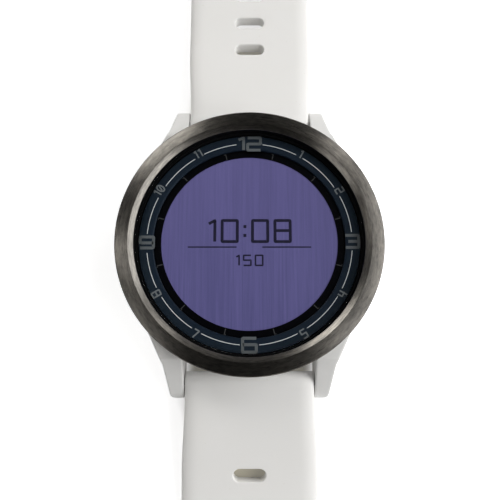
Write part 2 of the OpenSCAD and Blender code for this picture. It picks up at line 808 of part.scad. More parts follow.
module buckle_tongue() {
    loop_r = 1.5;
    rest_z = buckle_t * (1 + arm_rise / 2) + gap;
    tongue_t = 1.1;
    tip_y = cross_y + buckle_t / 2 + 0.1;
    root = [pin_y, upper_mid];
    side = concat(
        [root + [0.4, loop_r], root + [0.9, 0.2], [cross_y - 2, rest_z]],
        [[tip_y, rest_z - 0.05]],
        arc([tip_y - 0.1, rest_z + 0.45], 0.5, -60, 80, 6),
        [[cross_y - 2, rest_z + tongue_t]]);
    color("#b4b6b8") difference() {
        union() {
            rod(-tongue_w / 2, tongue_w / 2, loop_r, pin_y, upper_mid);
            rotate([90, 0, 90]) linear_extrude(tongue_w, center = true) polygon(side);
        }
        rod(-tongue_w, tongue_w, pin_d / 2 + 0.08, pin_y, upper_mid);
    }
}

case_body();
case_back();
back_gasket();
back_screws();
bezel();
cover_lens();
lens_gasket();
bezel_gasket();
hour_ring();
display_mask();
display_panel();
backlight();
display_carrier();
display_flex();
main_board();
satellite_receiver();
board_chips();
radio_module();
board_screws();
satellite_antenna();
battery();
battery_pad();
battery_plug();
battery_leads();
vibration_motor();
buzzer();
charge_contacts();
contact_pins();
button_switch();
side_button();
button_clip();
button_seal();
button_spring();
strap_upper();
upper_bar_tube();
upper_bar_spring();
upper_bar_tip();
upper_bar_release();
strap_lower();
lower_bar_tube();
lower_bar_spring();
lower_bar_tip();
lower_bar_release();
keeper_fixed();
keeper_free();
buckle_frame();
buckle_pin();
buckle_tongue();
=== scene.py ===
"""Looks of a golf GPS watch: white case, turned bezel, hour ring, violet display, slotted silicone strap.

Sizes are in millimetres until a mesh is made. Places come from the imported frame's boxes and joints.
"""

from __future__ import annotations

import json
import logging
import math
from collections.abc import Iterable, Sequence
from dataclasses import dataclass, field
from enum import Enum

import bmesh
import bpy
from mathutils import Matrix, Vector


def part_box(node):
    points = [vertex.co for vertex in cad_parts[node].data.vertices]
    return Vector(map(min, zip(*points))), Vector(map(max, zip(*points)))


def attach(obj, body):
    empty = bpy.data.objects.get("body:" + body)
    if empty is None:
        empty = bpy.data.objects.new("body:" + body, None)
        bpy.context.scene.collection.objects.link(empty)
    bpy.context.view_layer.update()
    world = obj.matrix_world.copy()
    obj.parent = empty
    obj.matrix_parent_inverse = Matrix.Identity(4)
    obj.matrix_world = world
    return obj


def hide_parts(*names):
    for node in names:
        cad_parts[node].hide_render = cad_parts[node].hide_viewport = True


MM = 0.001
Colour = tuple[float, float, float]
Point = tuple[float, float]

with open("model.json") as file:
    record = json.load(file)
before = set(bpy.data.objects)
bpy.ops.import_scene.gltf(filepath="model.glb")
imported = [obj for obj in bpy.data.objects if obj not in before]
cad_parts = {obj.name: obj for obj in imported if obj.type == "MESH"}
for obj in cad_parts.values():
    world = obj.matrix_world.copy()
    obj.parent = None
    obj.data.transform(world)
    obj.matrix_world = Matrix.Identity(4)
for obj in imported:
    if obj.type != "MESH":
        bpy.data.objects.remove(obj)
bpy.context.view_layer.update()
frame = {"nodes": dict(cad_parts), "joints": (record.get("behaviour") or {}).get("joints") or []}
log = logging.getLogger("watch")


# ---------------------------------------------------------------- node graphs


class Val:
    """A socket of a node graph that takes part in arithmetic."""

    def __init__(self, graph: "Graph", socket: bpy.types.NodeSocket) -> None:
        """Wraps one output socket of a graph."""
        self.graph = graph
        self.socket = socket

    def _math(self, operation: str, first: "Val | float", second: "Val | float") -> "Val":
        """Adds one Math node and returns its result."""
        return self.graph.node("ShaderNodeMath", {"operation": operation}, {0: first, 1: second})

    def __add__(self, other: "Val | float") -> "Val":
        """Sum."""
        return self._math("ADD", self, other)

    def __radd__(self, other: float) -> "Val":
        """Sum with a number on the left."""
        return self._math("ADD", other, self)

    def __sub__(self, other: "Val | float") -> "Val":
        """Difference."""
        return self._math("SUBTRACT", self, other)

    def __rsub__(self, other: float) -> "Val":
        """Difference with a number on the left."""
        return self._math("SUBTRACT", other, self)

    def __mul__(self, other: "Val | float") -> "Val":
        """Product."""
        return self._math("MULTIPLY", self, other)

    def __rmul__(self, other: float) -> "Val":
        """Product with a number on the left."""
        return self._math("MULTIPLY", other, self)

    def __truediv__(self, other: "Val | float") -> "Val":
        """Quotient."""
        return self._math("DIVIDE", self, other)

    def __pow__(self, other: float) -> "Val":
        """Power."""
        return self._math("POWER", self, other)

    def smaller(self, limit: float) -> "Val":
        """1 where the value is under a limit, else 0."""
        return self._math("LESS_THAN", self, limit)


class Graph:
    """A shader or geometry node tree that is built by calls."""

    def __init__(self, tree: bpy.types.NodeTree) -> None:
        """Starts on a node tree."""
        self.tree = tree

    def node(self, kind: str, settings: dict | None = None, inputs: dict | None = None,
             output: int | str = 0) -> Val:
        """Adds a node.

        Args:
            kind: the node's type.
            settings: attributes that are set first.
            inputs: sockets by name or index, each a Val or a plain value.
            output: the output to return, by name or index.

        Returns:
            The chosen output.
        """
        made = self.tree.nodes.new(kind)
        for key, value in (settings or {}).items():
            setattr(made, key, value)
        for key, value in (inputs or {}).items():
            if isinstance(value, Val):
                self.tree.links.new(value.socket, made.inputs[key])
            else:
                made.inputs[key].default_value = value
        return Val(self, made.outputs[output]) if made.outputs else Val(self, None)

    def mix(self, factor: Val | float, first: "Val | Colour", second: "Val | Colour") -> Val:
        """Mixes two colours.

        Args:
            factor: 0 for the first colour, 1 for the second.
            first: a colour or a colour output.
            second: a colour or a colour output.

        Returns:
            The mixed colour.
        """
        shades = [colour if isinstance(colour, Val) else (*colour, 1.0) for colour in (first, second)]
        return self.node("ShaderNodeMix", {"data_type": "RGBA", "clamp_factor": True},
                         {0: factor, 6: shades[0], 7: shades[1]}, 2)

    def step(self, value: Val, span: Sequence[float], levels: Sequence[float] = (0.0, 1.0)) -> Val:
        """A smooth step.

        Args:
            value: what drives it.
            span: the values between which it changes.
            levels: the results at those two values and beyond them.

        Returns:
            The stepped value.
        """
        return self.node("ShaderNodeMapRange", {"interpolation_type": "SMOOTHSTEP"},
                         {"Value": value, "From Min": span[0], "From Max": span[1],
                          "To Min": levels[0], "To Max": levels[1]})

    def place(self, scale: Sequence[float] = (1, 1, 1)) -> Val:
        """Object coordinates in millimetres, stretched by a scale."""
        spot = self.node("ShaderNodeTexCoord", output="Object")
        return self.node("ShaderNodeMapping", None, {"Vector": spot, "Scale": [1000 * s for s in scale]})

    def noise(self, where: Val, scale: float, detail: float = 2.0, roughness: float = 0.5) -> Val:
        """A noise value from 0 to 1."""
        return self.node("ShaderNodeTexNoise", None,
                         {"Vector": where, "Scale": scale, "Detail": detail, "Roughness": roughness})

    def polar(self, stretch_r: float, stretch_a: float) -> Val:
        """Coordinates that run with the radius and the angle about Z, for turned marks.

        Args:
            stretch_r: cycles per millimetre of radius.
            stretch_a: cycles per turn.

        Returns:
            A vector without a seam: radius first, then a small circle for the angle.
        """
        x, y, z = self.axes()
        radius = (x * x + y * y) ** 0.5
        reach = stretch_a / (2 * math.pi)
        spots = {0: radius * stretch_r + z * stretch_r, 1: x / radius * reach, 2: y / radius * reach}
        return self.node("ShaderNodeCombineXYZ", None, spots)

    def split(self, vector: Val) -> list[Val]:
        """Splits a vector into X, Y and Z."""
        parts = self.node("ShaderNodeSeparateXYZ", None, {0: vector}).socket.node.outputs
        return [Val(self, part) for part in parts]

    def axes(self) -> list[Val]:
        """The object coordinates X, Y and Z, in millimetres."""
        return self.split(self.place())

    def radius(self) -> Val:
        """The distance from the Z axis, in millimetres."""
        x, y, _ = self.axes()
        return (x * x + y * y) ** 0.5

    def bump(self, height: Val, depth_um: float) -> Val:
        """The normal bent by a height from 0 to 1, where 1 stands for a depth in micrometres."""
        return self.node("ShaderNodeBump", None,
                         {"Strength": 1.0, "Distance": depth_um * 1e-6, "Height": height})


# ---------------------------------------------------------------- finishes


@dataclass(frozen=True)
class Finish:
    """A surface finish, made into a material once and then shared."""

    name: str
    colour: Colour
    roughness: float = 0.5
    specular: float = 0.5

    def material(self) -> bpy.types.Material:
        """Makes the material at the first call, and finds it at later ones.

        Returns:
            The material.
        """
        title = self.name + "_finish"
        found = bpy.data.materials.get(title)
        if found:
            return found
        made = bpy.data.materials.new(title)
        made.use_nodes = True
        made.node_tree.nodes.clear()
        graph = Graph(made.node_tree)
        surface = self.surface(graph)
        graph.node("ShaderNodeOutputMaterial", None, {"Surface": surface})
        made.diffuse_color = (*self.colour, 1.0)
        return made

    def surface(self, graph: Graph) -> Val:
        """Builds the shader; each kind of finish has its own."""
        raise NotImplementedError

    def shade(self, share: float) -> Colour:
        """The finish's colour at a share of its brightness."""
        return tuple(min(1.0, c * share) for c in self.colour)

    def principled(self, graph: Graph, inputs: dict) -> Val:
        """Adds a Principled shader.

        Args:
            graph: the material's graph.
            inputs: its sockets; colour, roughness and specular level are the finish's own unless given.

        Returns:
            The shader's output.
        """
        base = {"Base Color": (*self.colour, 1.0), "Roughness": self.roughness,
                "Specular IOR Level": self.specular}
        return graph.node("ShaderNodeBsdfPrincipled", None, {**base, **inputs}, "BSDF")


@dataclass(frozen=True)
class Moulded(Finish):
    """Moulded plastic with a fine spark-eroded grain."""

    grain: float = 9.0
    depth_um: float = 5.0
    coat: float = 0.0

    def surface(self, graph: Graph) -> Val:
        """Builds the shader.

        Args:
            graph: the material's graph.

        Returns:
            The shader's output.
        """
        spot = graph.place()
        cloud = graph.noise(spot, 0.35, 3)
        fine = graph.noise(spot, self.grain, 2)
        return self.principled(graph, {
            "Base Color": graph.mix(cloud, self.shade(0.93), self.colour),
            "Roughness": self.roughness - 0.06 + 0.12 * cloud,
            "Normal": graph.bump(fine, self.depth_um),
            "Coat Weight": self.coat,
        })


@dataclass(frozen=True)
class Silicone(Finish):
    """Matt silicone rubber: a soft sheen, a cloudy tint and clinging specks of dust."""

    sheen: float = 0.25

    def surface(self, graph: Graph) -> Val:
        """Builds the shader.

        Args:
            graph: the material's graph.

        Returns:
            The shader's output.
        """
        spot = graph.place()
        cloud = graph.noise(spot, 0.12, 4, 0.6)
        fine = graph.noise(spot, 14, 3, 0.6)
        cell = graph.node("ShaderNodeTexVoronoi", None, {"Vector": spot, "Scale": 0.55}, "Distance")
        speck = cell.smaller(0.035) * 0.5
        warm = (self.colour[0] * 0.99, self.colour[1] * 0.983, self.colour[2] * 0.97)
        tint = graph.mix(cloud, warm, self.colour)
        return self.principled(graph, {
            "Base Color": graph.mix(speck, tint, (0.62, 0.58, 0.5)),
            "Roughness": self.roughness - 0.05 + 0.1 * cloud,
            "Normal": graph.bump(fine, 6),
            "Sheen Weight": self.sheen,
            "Sheen Roughness": 0.45,
        })


@dataclass(frozen=True)
class TurnedMetal(Finish):
    """Metal with marks that run round the Z axis, as a lathe or a rotary brush leaves them."""

    spread: float = 0.75
    contrast: float = 0.5
    warm: Colour = (0.29, 0.265, 0.235)

    def surface(self, graph: Graph) -> Val:
        """Builds the shader.

        Args:
            graph: the material's graph.

        Returns:
            The shader's output.
        """
        marks = graph.noise(graph.polar(2.9, 70), 1.0, 4, 0.75)
        lines = graph.noise(graph.polar(16, 26), 1.0, 2, 0.6)
        cloud = graph.noise(graph.polar(0.35, 9), 1.0, 3, 0.55)
        tone = graph.mix(cloud, self.colour, self.warm)
        dark = self.shade(1 - self.contrast)
        return self.principled(graph, {
            "Base Color": graph.mix((marks - 0.5) * 2.6 + 0.55, dark, tone),
            "Metallic": 1.0,
            "Roughness": self.roughness - 0.08 + 0.16 * lines,
            "Normal": graph.bump(marks * 0.6 + lines * 0.4, 5),
            "Anisotropic": self.spread,
            "Anisotropic Rotation": 0.25,
        })


@dataclass(frozen=True)
class DrawnMetal(Finish):
    """Metal brushed along one axis."""

    along: tuple[float, float, float] = (1.0, 0.06, 1.0)

    def surface(self, graph: Graph) -> Val:
        """Builds the shader.

        Args:
            graph: the material's graph.

        Returns:
            The shader's output.
        """
        lines = graph.noise(graph.place([6 * s for s in self.along]), 1.0, 3, 0.6)
        cloud = graph.noise(graph.place(), 0.4, 3)
        return self.principled(graph, {
            "Base Color": graph.mix(lines * 0.6 + cloud * 0.4, self.shade(0.7), self.colour),
            "Metallic": 1.0,
            "Roughness": self.roughness - 0.07 + 0.14 * lines,
            "Normal": graph.bump(lines, 4),
        })


@dataclass(frozen=True)
class CoatedGlass(Finish):
    """Clear lens glass with a coating that keeps its reflection faint."""

    index: float = 1.22

    def surface(self, graph: Graph) -> Val:
        """Builds the shader.

        Args:
            graph: the material's graph.

        Returns:
            The shader's output.
        """
        clear = graph.node("ShaderNodeBsdfTransparent", None, {"Color": (*self.colour, 1.0)})
        haze = graph.noise(graph.place(), 0.15, 3)
        gloss = graph.node("ShaderNodeBsdfAnisotropic", None,
                           {"Color": (1, 1, 1, 1), "Roughness": self.roughness + 0.03 * haze})
        edge = graph.node("ShaderNodeFresnel", None, {"IOR": self.index})
        inside = graph.node("ShaderNodeNewGeometry", output="Backfacing")
        return graph.node("ShaderNodeMixShader", None, {0: edge * (1 - inside), 1: clear, 2: gloss})


@dataclass(frozen=True)
class Lacquer(Finish):
    """Dark lacquer of the hour ring, a little bluer and lighter towards its outer edge."""

    edge_colour: Colour = (0.013, 0.021, 0.03)
    inner_mm: float = 16.3
    outer_mm: float = 18.8

    def surface(self, graph: Graph) -> Val:
        """Builds the shader.

        Args:
            graph: the material's graph.

        Returns:
            The shader's output.
        """
        out = (graph.radius() - self.inner_mm) / (self.outer_mm - self.inner_mm)
        rings = graph.noise(graph.polar(5, 2), 1.0, 2)
        flake = graph.noise(graph.place(), 22, 2)
        tone = graph.mix(out * 0.6 + rings * 0.3, self.colour, self.edge_colour)
        return self.principled(graph, {
            "Base Color": graph.mix(flake * 0.25, tone, (0.02, 0.034, 0.055)),
            "Roughness": self.roughness + 0.1 * rings,
            "Normal": graph.bump(flake, 2),
        })


@dataclass(frozen=True)
class Ink(Finish):
    """Printed ink with a slightly uneven cover."""

    def surface(self, graph: Graph) -> Val:
        """Builds the shader.

        Args:
            graph: the material's graph.

        Returns:
            The shader's output.
        """
        cover = graph.noise(graph.place(), 7, 3)
        return self.principled(graph, {
            "Base Color": graph.mix(cover, self.shade(0.72), self.colour),
            "Roughness": self.roughness,
            "Normal": graph.bump(cover, 2),
        })


@dataclass(frozen=True)
class DisplayFilm(Finish):
    """Reflective display film: a violet field with fine upright streaks, darker towards the bottom, with a
    painted glow.
    """

    low: Colour = (0.075, 0.07, 0.19)
    half_mm: float = 15.0
    # painted light: the film glows faintly in its own colour, though it is no lamp
    glow: float = 0.2

    def surface(self, graph: Graph) -> Val:
        """Builds the shader.

        Args:
            graph: the material's graph.

        Returns:
            The shader's output.
        """
        _, y, _ = graph.axes()
        rise = y / (2 * self.half_mm) + 0.5
        streaks = graph.noise(graph.place((2.8, 0.06, 1)), 1.0, 3, 0.65)
        broad = graph.noise(graph.place((0.5, 0.03, 1)), 1.0, 2)
        field_tone = graph.mix(rise, self.low, self.colour)
        toned = graph.mix((streaks - 0.5) * 1.9 + (broad - 0.5) + 0.4, field_tone, self.shade(1.22))
        return self.principled(graph, {
            "Base Color": toned,
            "Roughness": self.roughness + 0.1 * streaks,
            "Normal": graph.bump(streaks, 1),
            # painted light: emission in the film's own colour
            "Emission Color": toned,
            "Emission Strength": self.glow,
        })


@dataclass(frozen=True)
class Laminate(Finish):
    """Circuit board: solder mask with copper tracks that show through it."""

    track: Colour = (0.06, 0.3, 0.14)

    def surface(self, graph: Graph) -> Val:
        """Builds the shader.

        Args:
            graph: the material's graph.

        Returns:
            The shader's output.
        """
        spot = graph.place()
        kind = {"wave_type": "BANDS", "bands_direction": "DIAGONAL"}
        shape = {"Vector": spot, "Scale": 0.9, "Distortion": 7.0, "Detail": 1.0, "Detail Scale": 0.7}
        wave = graph.node("ShaderNodeTexWave", kind, shape, "Fac")
        tracks = wave.smaller(0.28)
        weave = graph.noise(spot, 5, 2)
        return self.principled(graph, {
            "Base Color": graph.mix(tracks, self.colour, self.track),
            "Roughness": self.roughness + 0.1 * weave,
            "Normal": graph.bump(tracks * 0.7 + weave * 0.3, 18),
        })


@dataclass(frozen=True)
class Foil(Finish):
    """Creased metal foil."""

    def surface(self, graph: Graph) -> Val:
        """Builds the shader.

        Args:
            graph: the material's graph.

        Returns:
            The shader's output.
        """
        spot = graph.place()
        crease = graph.node("ShaderNodeTexVoronoi", {"feature": "DISTANCE_TO_EDGE"},
                            {"Vector": spot, "Scale": 0.35}, "Distance")
        fine = graph.noise(spot, 2.5, 4)
        return self.principled(graph, {
            "Base Color": graph.mix(fine, self.shade(0.8), self.colour),
            "Metallic": 0.9,
            "Roughness": self.roughness + 0.15 * fine,
            "Normal": graph.bump(crease * 0.8 + fine * 0.5, 60),
        })


class Coat(Enum):
    """Every finish of the watch, by what it covers."""

    CASE = Moulded("case_plastic", (0.84, 0.84, 0.832), 0.38, grain=11.0, depth_um=3.0)
    BUTTON = Moulded("button_plastic", (0.86, 0.86, 0.85), 0.34, grain=12.0, depth_um=2.0)
    BACK = Moulded("back_plastic", (0.035, 0.036, 0.04), 0.46, grain=7.0, depth_um=7.0)
    BLACK = Moulded("black_plastic", (0.02, 0.02, 0.023), 0.5, grain=6.0, depth_um=6.0)
    MASK = Moulded("black_film", (0.0003, 0.0004, 0.0014), 0.5, 0.05, grain=14.0, depth_um=1.0)
    CREAM = Moulded("connector_plastic", (0.78, 0.73, 0.6), 0.45)
    WIRE = Moulded("wire_jacket", (0.5, 0.04, 0.03), 0.4)
    SEAL = Moulded("seal_rubber", (0.012, 0.013, 0.016), 0.62, grain=5.0, depth_um=10.0)
    # also laid on the bezel's inner wall as painted shade
    LENS_SEAL = Moulded("lens_seal", (0.0015, 0.0015, 0.002), 0.7, 0.1, grain=8.0, depth_um=1.0)
    FOAM = Moulded("foam_tape", (0.04, 0.04, 0.045), 0.85, grain=4.0, depth_um=50.0)
    GUIDE = Moulded("light_guide", (0.84, 0.86, 0.88), 0.25, grain=2.5, depth_um=4.0)
    STRAP = Silicone("white_silicone", (0.88, 0.88, 0.875), 0.55)
    BEZEL = TurnedMetal("turned_gunmetal", (0.2, 0.195, 0.183), 0.3)
    # painted shade: a darker copy of the bezel metal, for its outer flank
    SHADED_FLANK = TurnedMetal("shaded_turned_flank", (0.085, 0.083, 0.08), 0.42)
    STEEL = DrawnMetal("drawn_steel", (0.6, 0.6, 0.61), 0.28)
    BUCKLE = DrawnMetal("brushed_buckle_steel", (0.5, 0.5, 0.505), 0.3, along=(0.06, 1.0, 1.0))
    TIN = DrawnMetal("tinned_sheet", (0.68, 0.69, 0.7), 0.35, along=(1.0, 1.0, 0.2))
    GOLD = DrawnMetal("gold_plate", (0.83, 0.58, 0.24), 0.25, along=(1.0, 1.0, 0.1))
    LENS = CoatedGlass("coated_glass", (0.97, 0.98, 0.985), 0.02)
    RING = Lacquer("ring_lacquer", (0.0035, 0.0095, 0.021), 0.4, 0.16)
    BOLD_INK = Ink("bold_numeral_ink", (0.12, 0.132, 0.14), 0.5)
    FINE_INK = Ink("fine_numeral_ink", (0.2, 0.215, 0.225), 0.5)
    LINE_INK = Ink("line_ink", (0.95, 0.96, 0.96), 0.5)
    TICK_INK = Ink("tick_ink", (0.035, 0.035, 0.037), 0.5)
    DIGIT_INK = Ink("display_digit_ink", (0.008, 0.006, 0.03), 0.4)
    DISPLAY = DisplayFilm("display_film", (0.098, 0.086, 0.225), 0.35)
    BOARD = Laminate("circuit_board", (0.012, 0.12, 0.05), 0.35)
    COPPER = Foil("polyimide_copper", (0.45, 0.19, 0.06), 0.4)
    CELL = Foil("cell_foil", (0.66, 0.67, 0.69), 0.35)

    def paint(self, piece: bpy.types.Object) -> None:
        """Gives a piece this finish as its only material."""
        piece.data.materials.clear()
        piece.data.materials.append(self.value.material())


# ---------------------------------------------------------------- mesh tools


def smooth(t: float) -> float:
    """The smooth step from 0 at t = 0 to 1 at t = 1."""
    k = min(1.0, max(0.0, t))
    return k * k * (3 - 2 * k)


def blend(a: float, b: float, t: float) -> float:
    """The value between a and b at share t."""
    return a + (b - a) * t


def box_mm(node: str) -> tuple[Vector, Vector]:
    """A CAD node's lowest and highest corners, in millimetres."""
    low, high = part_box(node)
    return low / MM, high / MM


def joint_mm(name: str) -> Vector:
    """A hinge's place, in millimetres."""
    found = next(j for j in frame["joints"] if j["name"] == name)
    return Vector(found["pos_m"]) / MM


def linked(name: str, data: bpy.types.ID) -> bpy.types.Object:
    """Makes an object and links it to the scene.

    Args:
        name: its name.
        data: its mesh, camera or lamp data.

    Returns:
        The object.
    """
    made = bpy.data.objects.new(name, data)
    bpy.context.scene.collection.objects.link(made)
    return made


def merge_doubles(mesh: bpy.types.Mesh, gap: float, turn_out: bool = False) -> None:
    """Merges points that lie together.

    Args:
        mesh: the mesh.
        gap: how near they lie, in metres.
        turn_out: True to turn the faces outwards afterwards.
    """
    work = bmesh.new()
    work.from_mesh(mesh)
    bmesh.ops.remove_doubles(work, verts=work.verts, dist=gap)
    if turn_out:
        bmesh.ops.recalc_face_normals(work, faces=work.faces)
    work.to_mesh(mesh)
    work.free()


def finish_mesh(mesh: bpy.types.Mesh, sharp_deg: float = 40.0) -> None:
    """Merges doubles, turns faces outwards and shades the mesh smooth.

    Args:
        mesh: the mesh.
        sharp_deg: edges bent by more than this stay sharp.
    """
    merge_doubles(mesh, 1e-7, True)
    mesh.polygons.foreach_set("use_smooth", [True] * len(mesh.polygons))
    mesh.set_sharp_from_angle(angle=math.radians(sharp_deg))


def new_piece(name: str, points: Sequence, faces: Sequence, sharp_deg: float = 40.0) -> bpy.types.Object:
    """Makes an object from points in millimetres.

    Args:
        name: the piece's name.
        points: its points.
        faces: its faces, as point numbers.
        sharp_deg: edges bent by more than this stay sharp.

    Returns:
        The new object, linked to the scene.
    """
    mesh = bpy.data.meshes.new(name)
    mesh.from_pydata([tuple(c * MM for c in p) for p in points], [], faces)
    finish_mesh(mesh, sharp_deg)
    return linked(name, mesh)


def rounded(corners: Sequence[Point], radius: float, steps: int = 5, closed: bool = True) -> list[Point]:
    """Rounds the corners of an outline.

    Args:
        corners: the outline's corners.
        radius: how far from a corner the round starts; short edges limit it.
        steps: points along each round.
        closed: False for a path whose two ends stay as they are.

    Returns:
        The rounded outline.
    """
    out: list[Point] = []
    count = len(corners)
    for i, corner in enumerate(corners):
        here = Vector(corner)
        if not closed and i in (0, count - 1):
            out.append(corner)
            continue
        before, after = Vector(corners[i - 1]) - here, Vector(corners[(i + 1) % count]) - here
        reach = min(radius, 0.45 * before.length, 0.45 * after.length)
        start, end = here + before.normalized() * reach, here + after.normalized() * reach
        for k in range(steps + 1):
            t = k / steps
            spot = start * (1 - t) ** 2 + here * 2 * t * (1 - t) + end * t * t
            out.append((spot.x, spot.y))
    return out


def lathe(name: str, outline: Sequence[Point], turns: int, sharp_deg: float) -> bpy.types.Object:
    """Turns a closed outline of (radius, height) round the Z axis.

    Args:
        name: the piece's name.
        outline: the outline; points on the axis close the shape.
        turns: segments round the axis.
        sharp_deg: edges bent by more than this stay sharp.

    Returns:
        The turned piece.
    """
    count = len(outline)
    points = []
    for i in range(turns):
        a = 2 * math.pi * i / turns
        points += [(r * math.cos(a), r * math.sin(a), z) for r, z in outline]
    faces = []
    for i in range(turns):
        here, there = i * count, (i + 1) % turns * count
        for k in range(count):
            n = (k + 1) % count
            if outline[k][0] < 1e-9 and outline[n][0] < 1e-9:
                continue
            quad = (here + k, there + k, there + n, here + n)
            if outline[k][0] < 1e-9:
                quad = (here + k, there + n, here + n)
            elif outline[n][0] < 1e-9:
                quad = (here + k, there + k, here + n)
            faces.append(quad)
    return new_piece(name, points, faces, sharp_deg)


def skin(name: str, rings: Sequence[Sequence], sharp_deg: float = 40.0) -> bpy.types.Object:
    """Joins a row of rings and closes both ends.

    Args:
        name: the piece's name.
        rings: closed rings of points in millimetres, all with as many points.
        sharp_deg: edges bent by more than this stay sharp.

    Returns:
        The closed piece.
    """
    count = len(rings[0])
    points = [p for ring in rings for p in ring]
    faces = []
    for i in range(len(rings) - 1):
        for k in range(count):
            n = (k + 1) % count
            faces.append((i * count + k, i * count + n, (i + 1) * count + n, (i + 1) * count + k))
    faces += [tuple(range(count)), tuple(range(len(points) - 1, len(points) - count - 1, -1))]
    return new_piece(name, points, faces, sharp_deg)


def applied(piece: bpy.types.Object) -> bpy.types.Object:
    """Bakes a piece's modifiers into its mesh.

    Args:
        piece: the piece.

    Returns:
        The same piece.
    """
    graph = bpy.context.evaluated_depsgraph_get()
    mesh = bpy.data.meshes.new_from_object(piece.evaluated_get(graph))
    old = piece.data
    piece.modifiers.clear()
    piece.data = mesh
    bpy.data.meshes.remove(old)
    return piece


def softened(node: str, name: str, voxel: float, keep: float, passes: int = 5) -> bpy.types.Object:
    """Makes a copy of a CAD node with its edges worn round.

    Args:
        node: the CAD node.
        name: the new piece's name.
        voxel: the grid of the rebuilt surface, in millimetres.
        keep: share of the faces that stay.
        passes: smoothing passes; more make rounder edges.

    Returns:
        The soft-edged piece.
    """
    mesh = frame["nodes"][node].data.copy()
    merge_doubles(mesh, 2e-6)
    mesh.materials.clear()
    made = linked(name, mesh)
    remesh = made.modifiers.new("remesh", "REMESH")
    remesh.mode, remesh.voxel_size = "VOXEL", voxel * MM
    even = made.modifiers.new("smooth", "SMOOTH")
    even.factor, even.iterations = 0.5, passes
    thin = made.modifiers.new("thin", "DECIMATE")
    thin.ratio = keep
    applied(made)
    finish_mesh(made.data, 60)
    return made


def cut_by(piece: bpy.types.Object, cutters: Iterable[bpy.types.Object]) -> bpy.types.Object:
    """Cuts pieces out of a piece.

    Args:
        piece: the piece.
        cutters: what is cut out of it; they are removed.

    Returns:
        The same piece.
    """
    for cutter in cutters:
        cut = piece.modifiers.new("cut", "BOOLEAN")
        cut.operation, cut.solver, cut.object = "DIFFERENCE", "EXACT", cutter
        applied(piece)
        bpy.data.objects.remove(cutter)
    finish_mesh(piece.data, 38)
    return piece


def bar_x(name: str, half: float, radius: float, y: float, z: float, sides: int = 40) -> bpy.types.Object:
    """Makes a round bar along X.

    Args:
        name: the piece's name.
        half: half its length.
        radius: its radius.
        y: its axis's place along Y.
        z: its axis's height.
        sides: points round it.

    Returns:
        The bar.
    """
    turns = [2 * math.pi * i / sides for i in range(sides)]
    return skin(name, [[(x, y + radius * math.cos(a), z + radius * math.sin(a)) for a in turns]
                       for x in (-half, half)])


def block(name: str, low: Sequence[float], high: Sequence[float]) -> bpy.types.Object:
    """Makes a box.

    Args:
        name: the piece's name.
        low: its lowest corner, in millimetres.
        high: its highest corner.

    Returns:
        The box.
    """
    points = [(x, y, z) for z in (low[2], high[2]) for y in (low[1], high[1]) for x in (low[0], high[0])]
    faces = [(0, 2, 3, 1), (4, 5, 7, 6), (0, 1, 5, 4), (2, 6, 7, 3), (0, 4, 6, 2), (1, 3, 7, 5)]
    return new_piece(name, points, faces)


def settle(piece: bpy.types.Object, body: str, slot: str, finish: Coat, *nodes: str) -> bpy.types.Object:
    """Dresses a finished piece and fixes it to its body.

    Args:
        piece: the piece.
        body: the CAD body that it moves with.
        slot: the record's material slot; not used.
        finish: its finish.
        nodes: CAD nodes that it stands for, if any.

    Returns:
        The piece.
    """
    finish.paint(piece)
    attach(piece, body)
    if nodes:
        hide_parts(*nodes)
    log.info("%s: %d faces on %s", piece.name, len(piece.data.polygons), body)
    return piece


# ---------------------------------------------------------------- repeats by geometry nodes


class Repeat:
    """A geometry node tree that sets copies of an object on points and makes them one mesh."""

    def __init__(self, name: str, finish: Coat) -> None:
        """Builds the tree.

        Args:
            name: the tree's name.
            finish: the material of the copies.
        """
        tree = bpy.data.node_groups.new(name, "GeometryNodeTree")
        tree.interface.new_socket("Geometry", in_out="INPUT", socket_type="NodeSocketGeometry")
        self.shape = tree.interface.new_socket("Shape", in_out="INPUT", socket_type="NodeSocketObject")
        self.size = tree.interface.new_socket("Size", in_out="INPUT", socket_type="NodeSocketFloat")
        tree.interface.new_socket("Geometry", in_out="OUTPUT", socket_type="NodeSocketGeometry")
        graph = Graph(tree)
        given = graph.node("NodeGroupInput", output="Geometry")
        outs = given.socket.node.outputs
        shape = Val(graph, outs["Shape"])
        copy = graph.node("GeometryNodeObjectInfo", None, {"Object": shape}, "Geometry")
        turn = graph.node("GeometryNodeInputNamedAttribute", {"data_type": "FLOAT_VECTOR"},
                          {"Name": "turn"})
        rotation = graph.node("FunctionNodeEulerToRotation", None, {0: turn})
        placed = graph.node("GeometryNodeInstanceOnPoints", None,
                            {"Points": given, "Instance": copy, "Rotation": rotation,
                             "Scale": Val(graph, outs["Size"])})
        solid = graph.node("GeometryNodeRealizeInstances", None, {0: placed})
        painted = graph.node("GeometryNodeSetMaterial", None,
                             {"Geometry": solid, "Material": finish.value.material()})
        graph.node("NodeGroupOutput", None, {"Geometry": painted})
        self.tree = tree

    def lay(self, name: str, shape: bpy.types.Object, spots: Sequence[Vector], turns: Sequence[Vector]
            ) -> bpy.types.Object:
        """Lays copies of a shape on spots.

        Args:
            name: the result's name.
            shape: the shape, made round the origin; it is removed.
            spots: places in millimetres.
            turns: each copy's rotation, as XYZ angles in radians.

        Returns:
            One plain mesh piece.
        """
        mesh = bpy.data.meshes.new(name)
        mesh.from_pydata([tuple(s * MM) for s in spots], [], [])
        turn = mesh.attributes.new("turn", "FLOAT_VECTOR", "POINT")
        turn.data.foreach_set("vector", [c for t in turns for c in t])
        made = linked(name, mesh)
        array = made.modifiers.new("repeat", "NODES")
        array.node_group = self.tree
        array[self.shape.identifier] = shape
        array[self.size.identifier] = 1.0
        applied(made)
        finish_mesh(made.data)
        bpy.data.objects.remove(shape)
        return made


# ---------------------------------------------------------------- studio


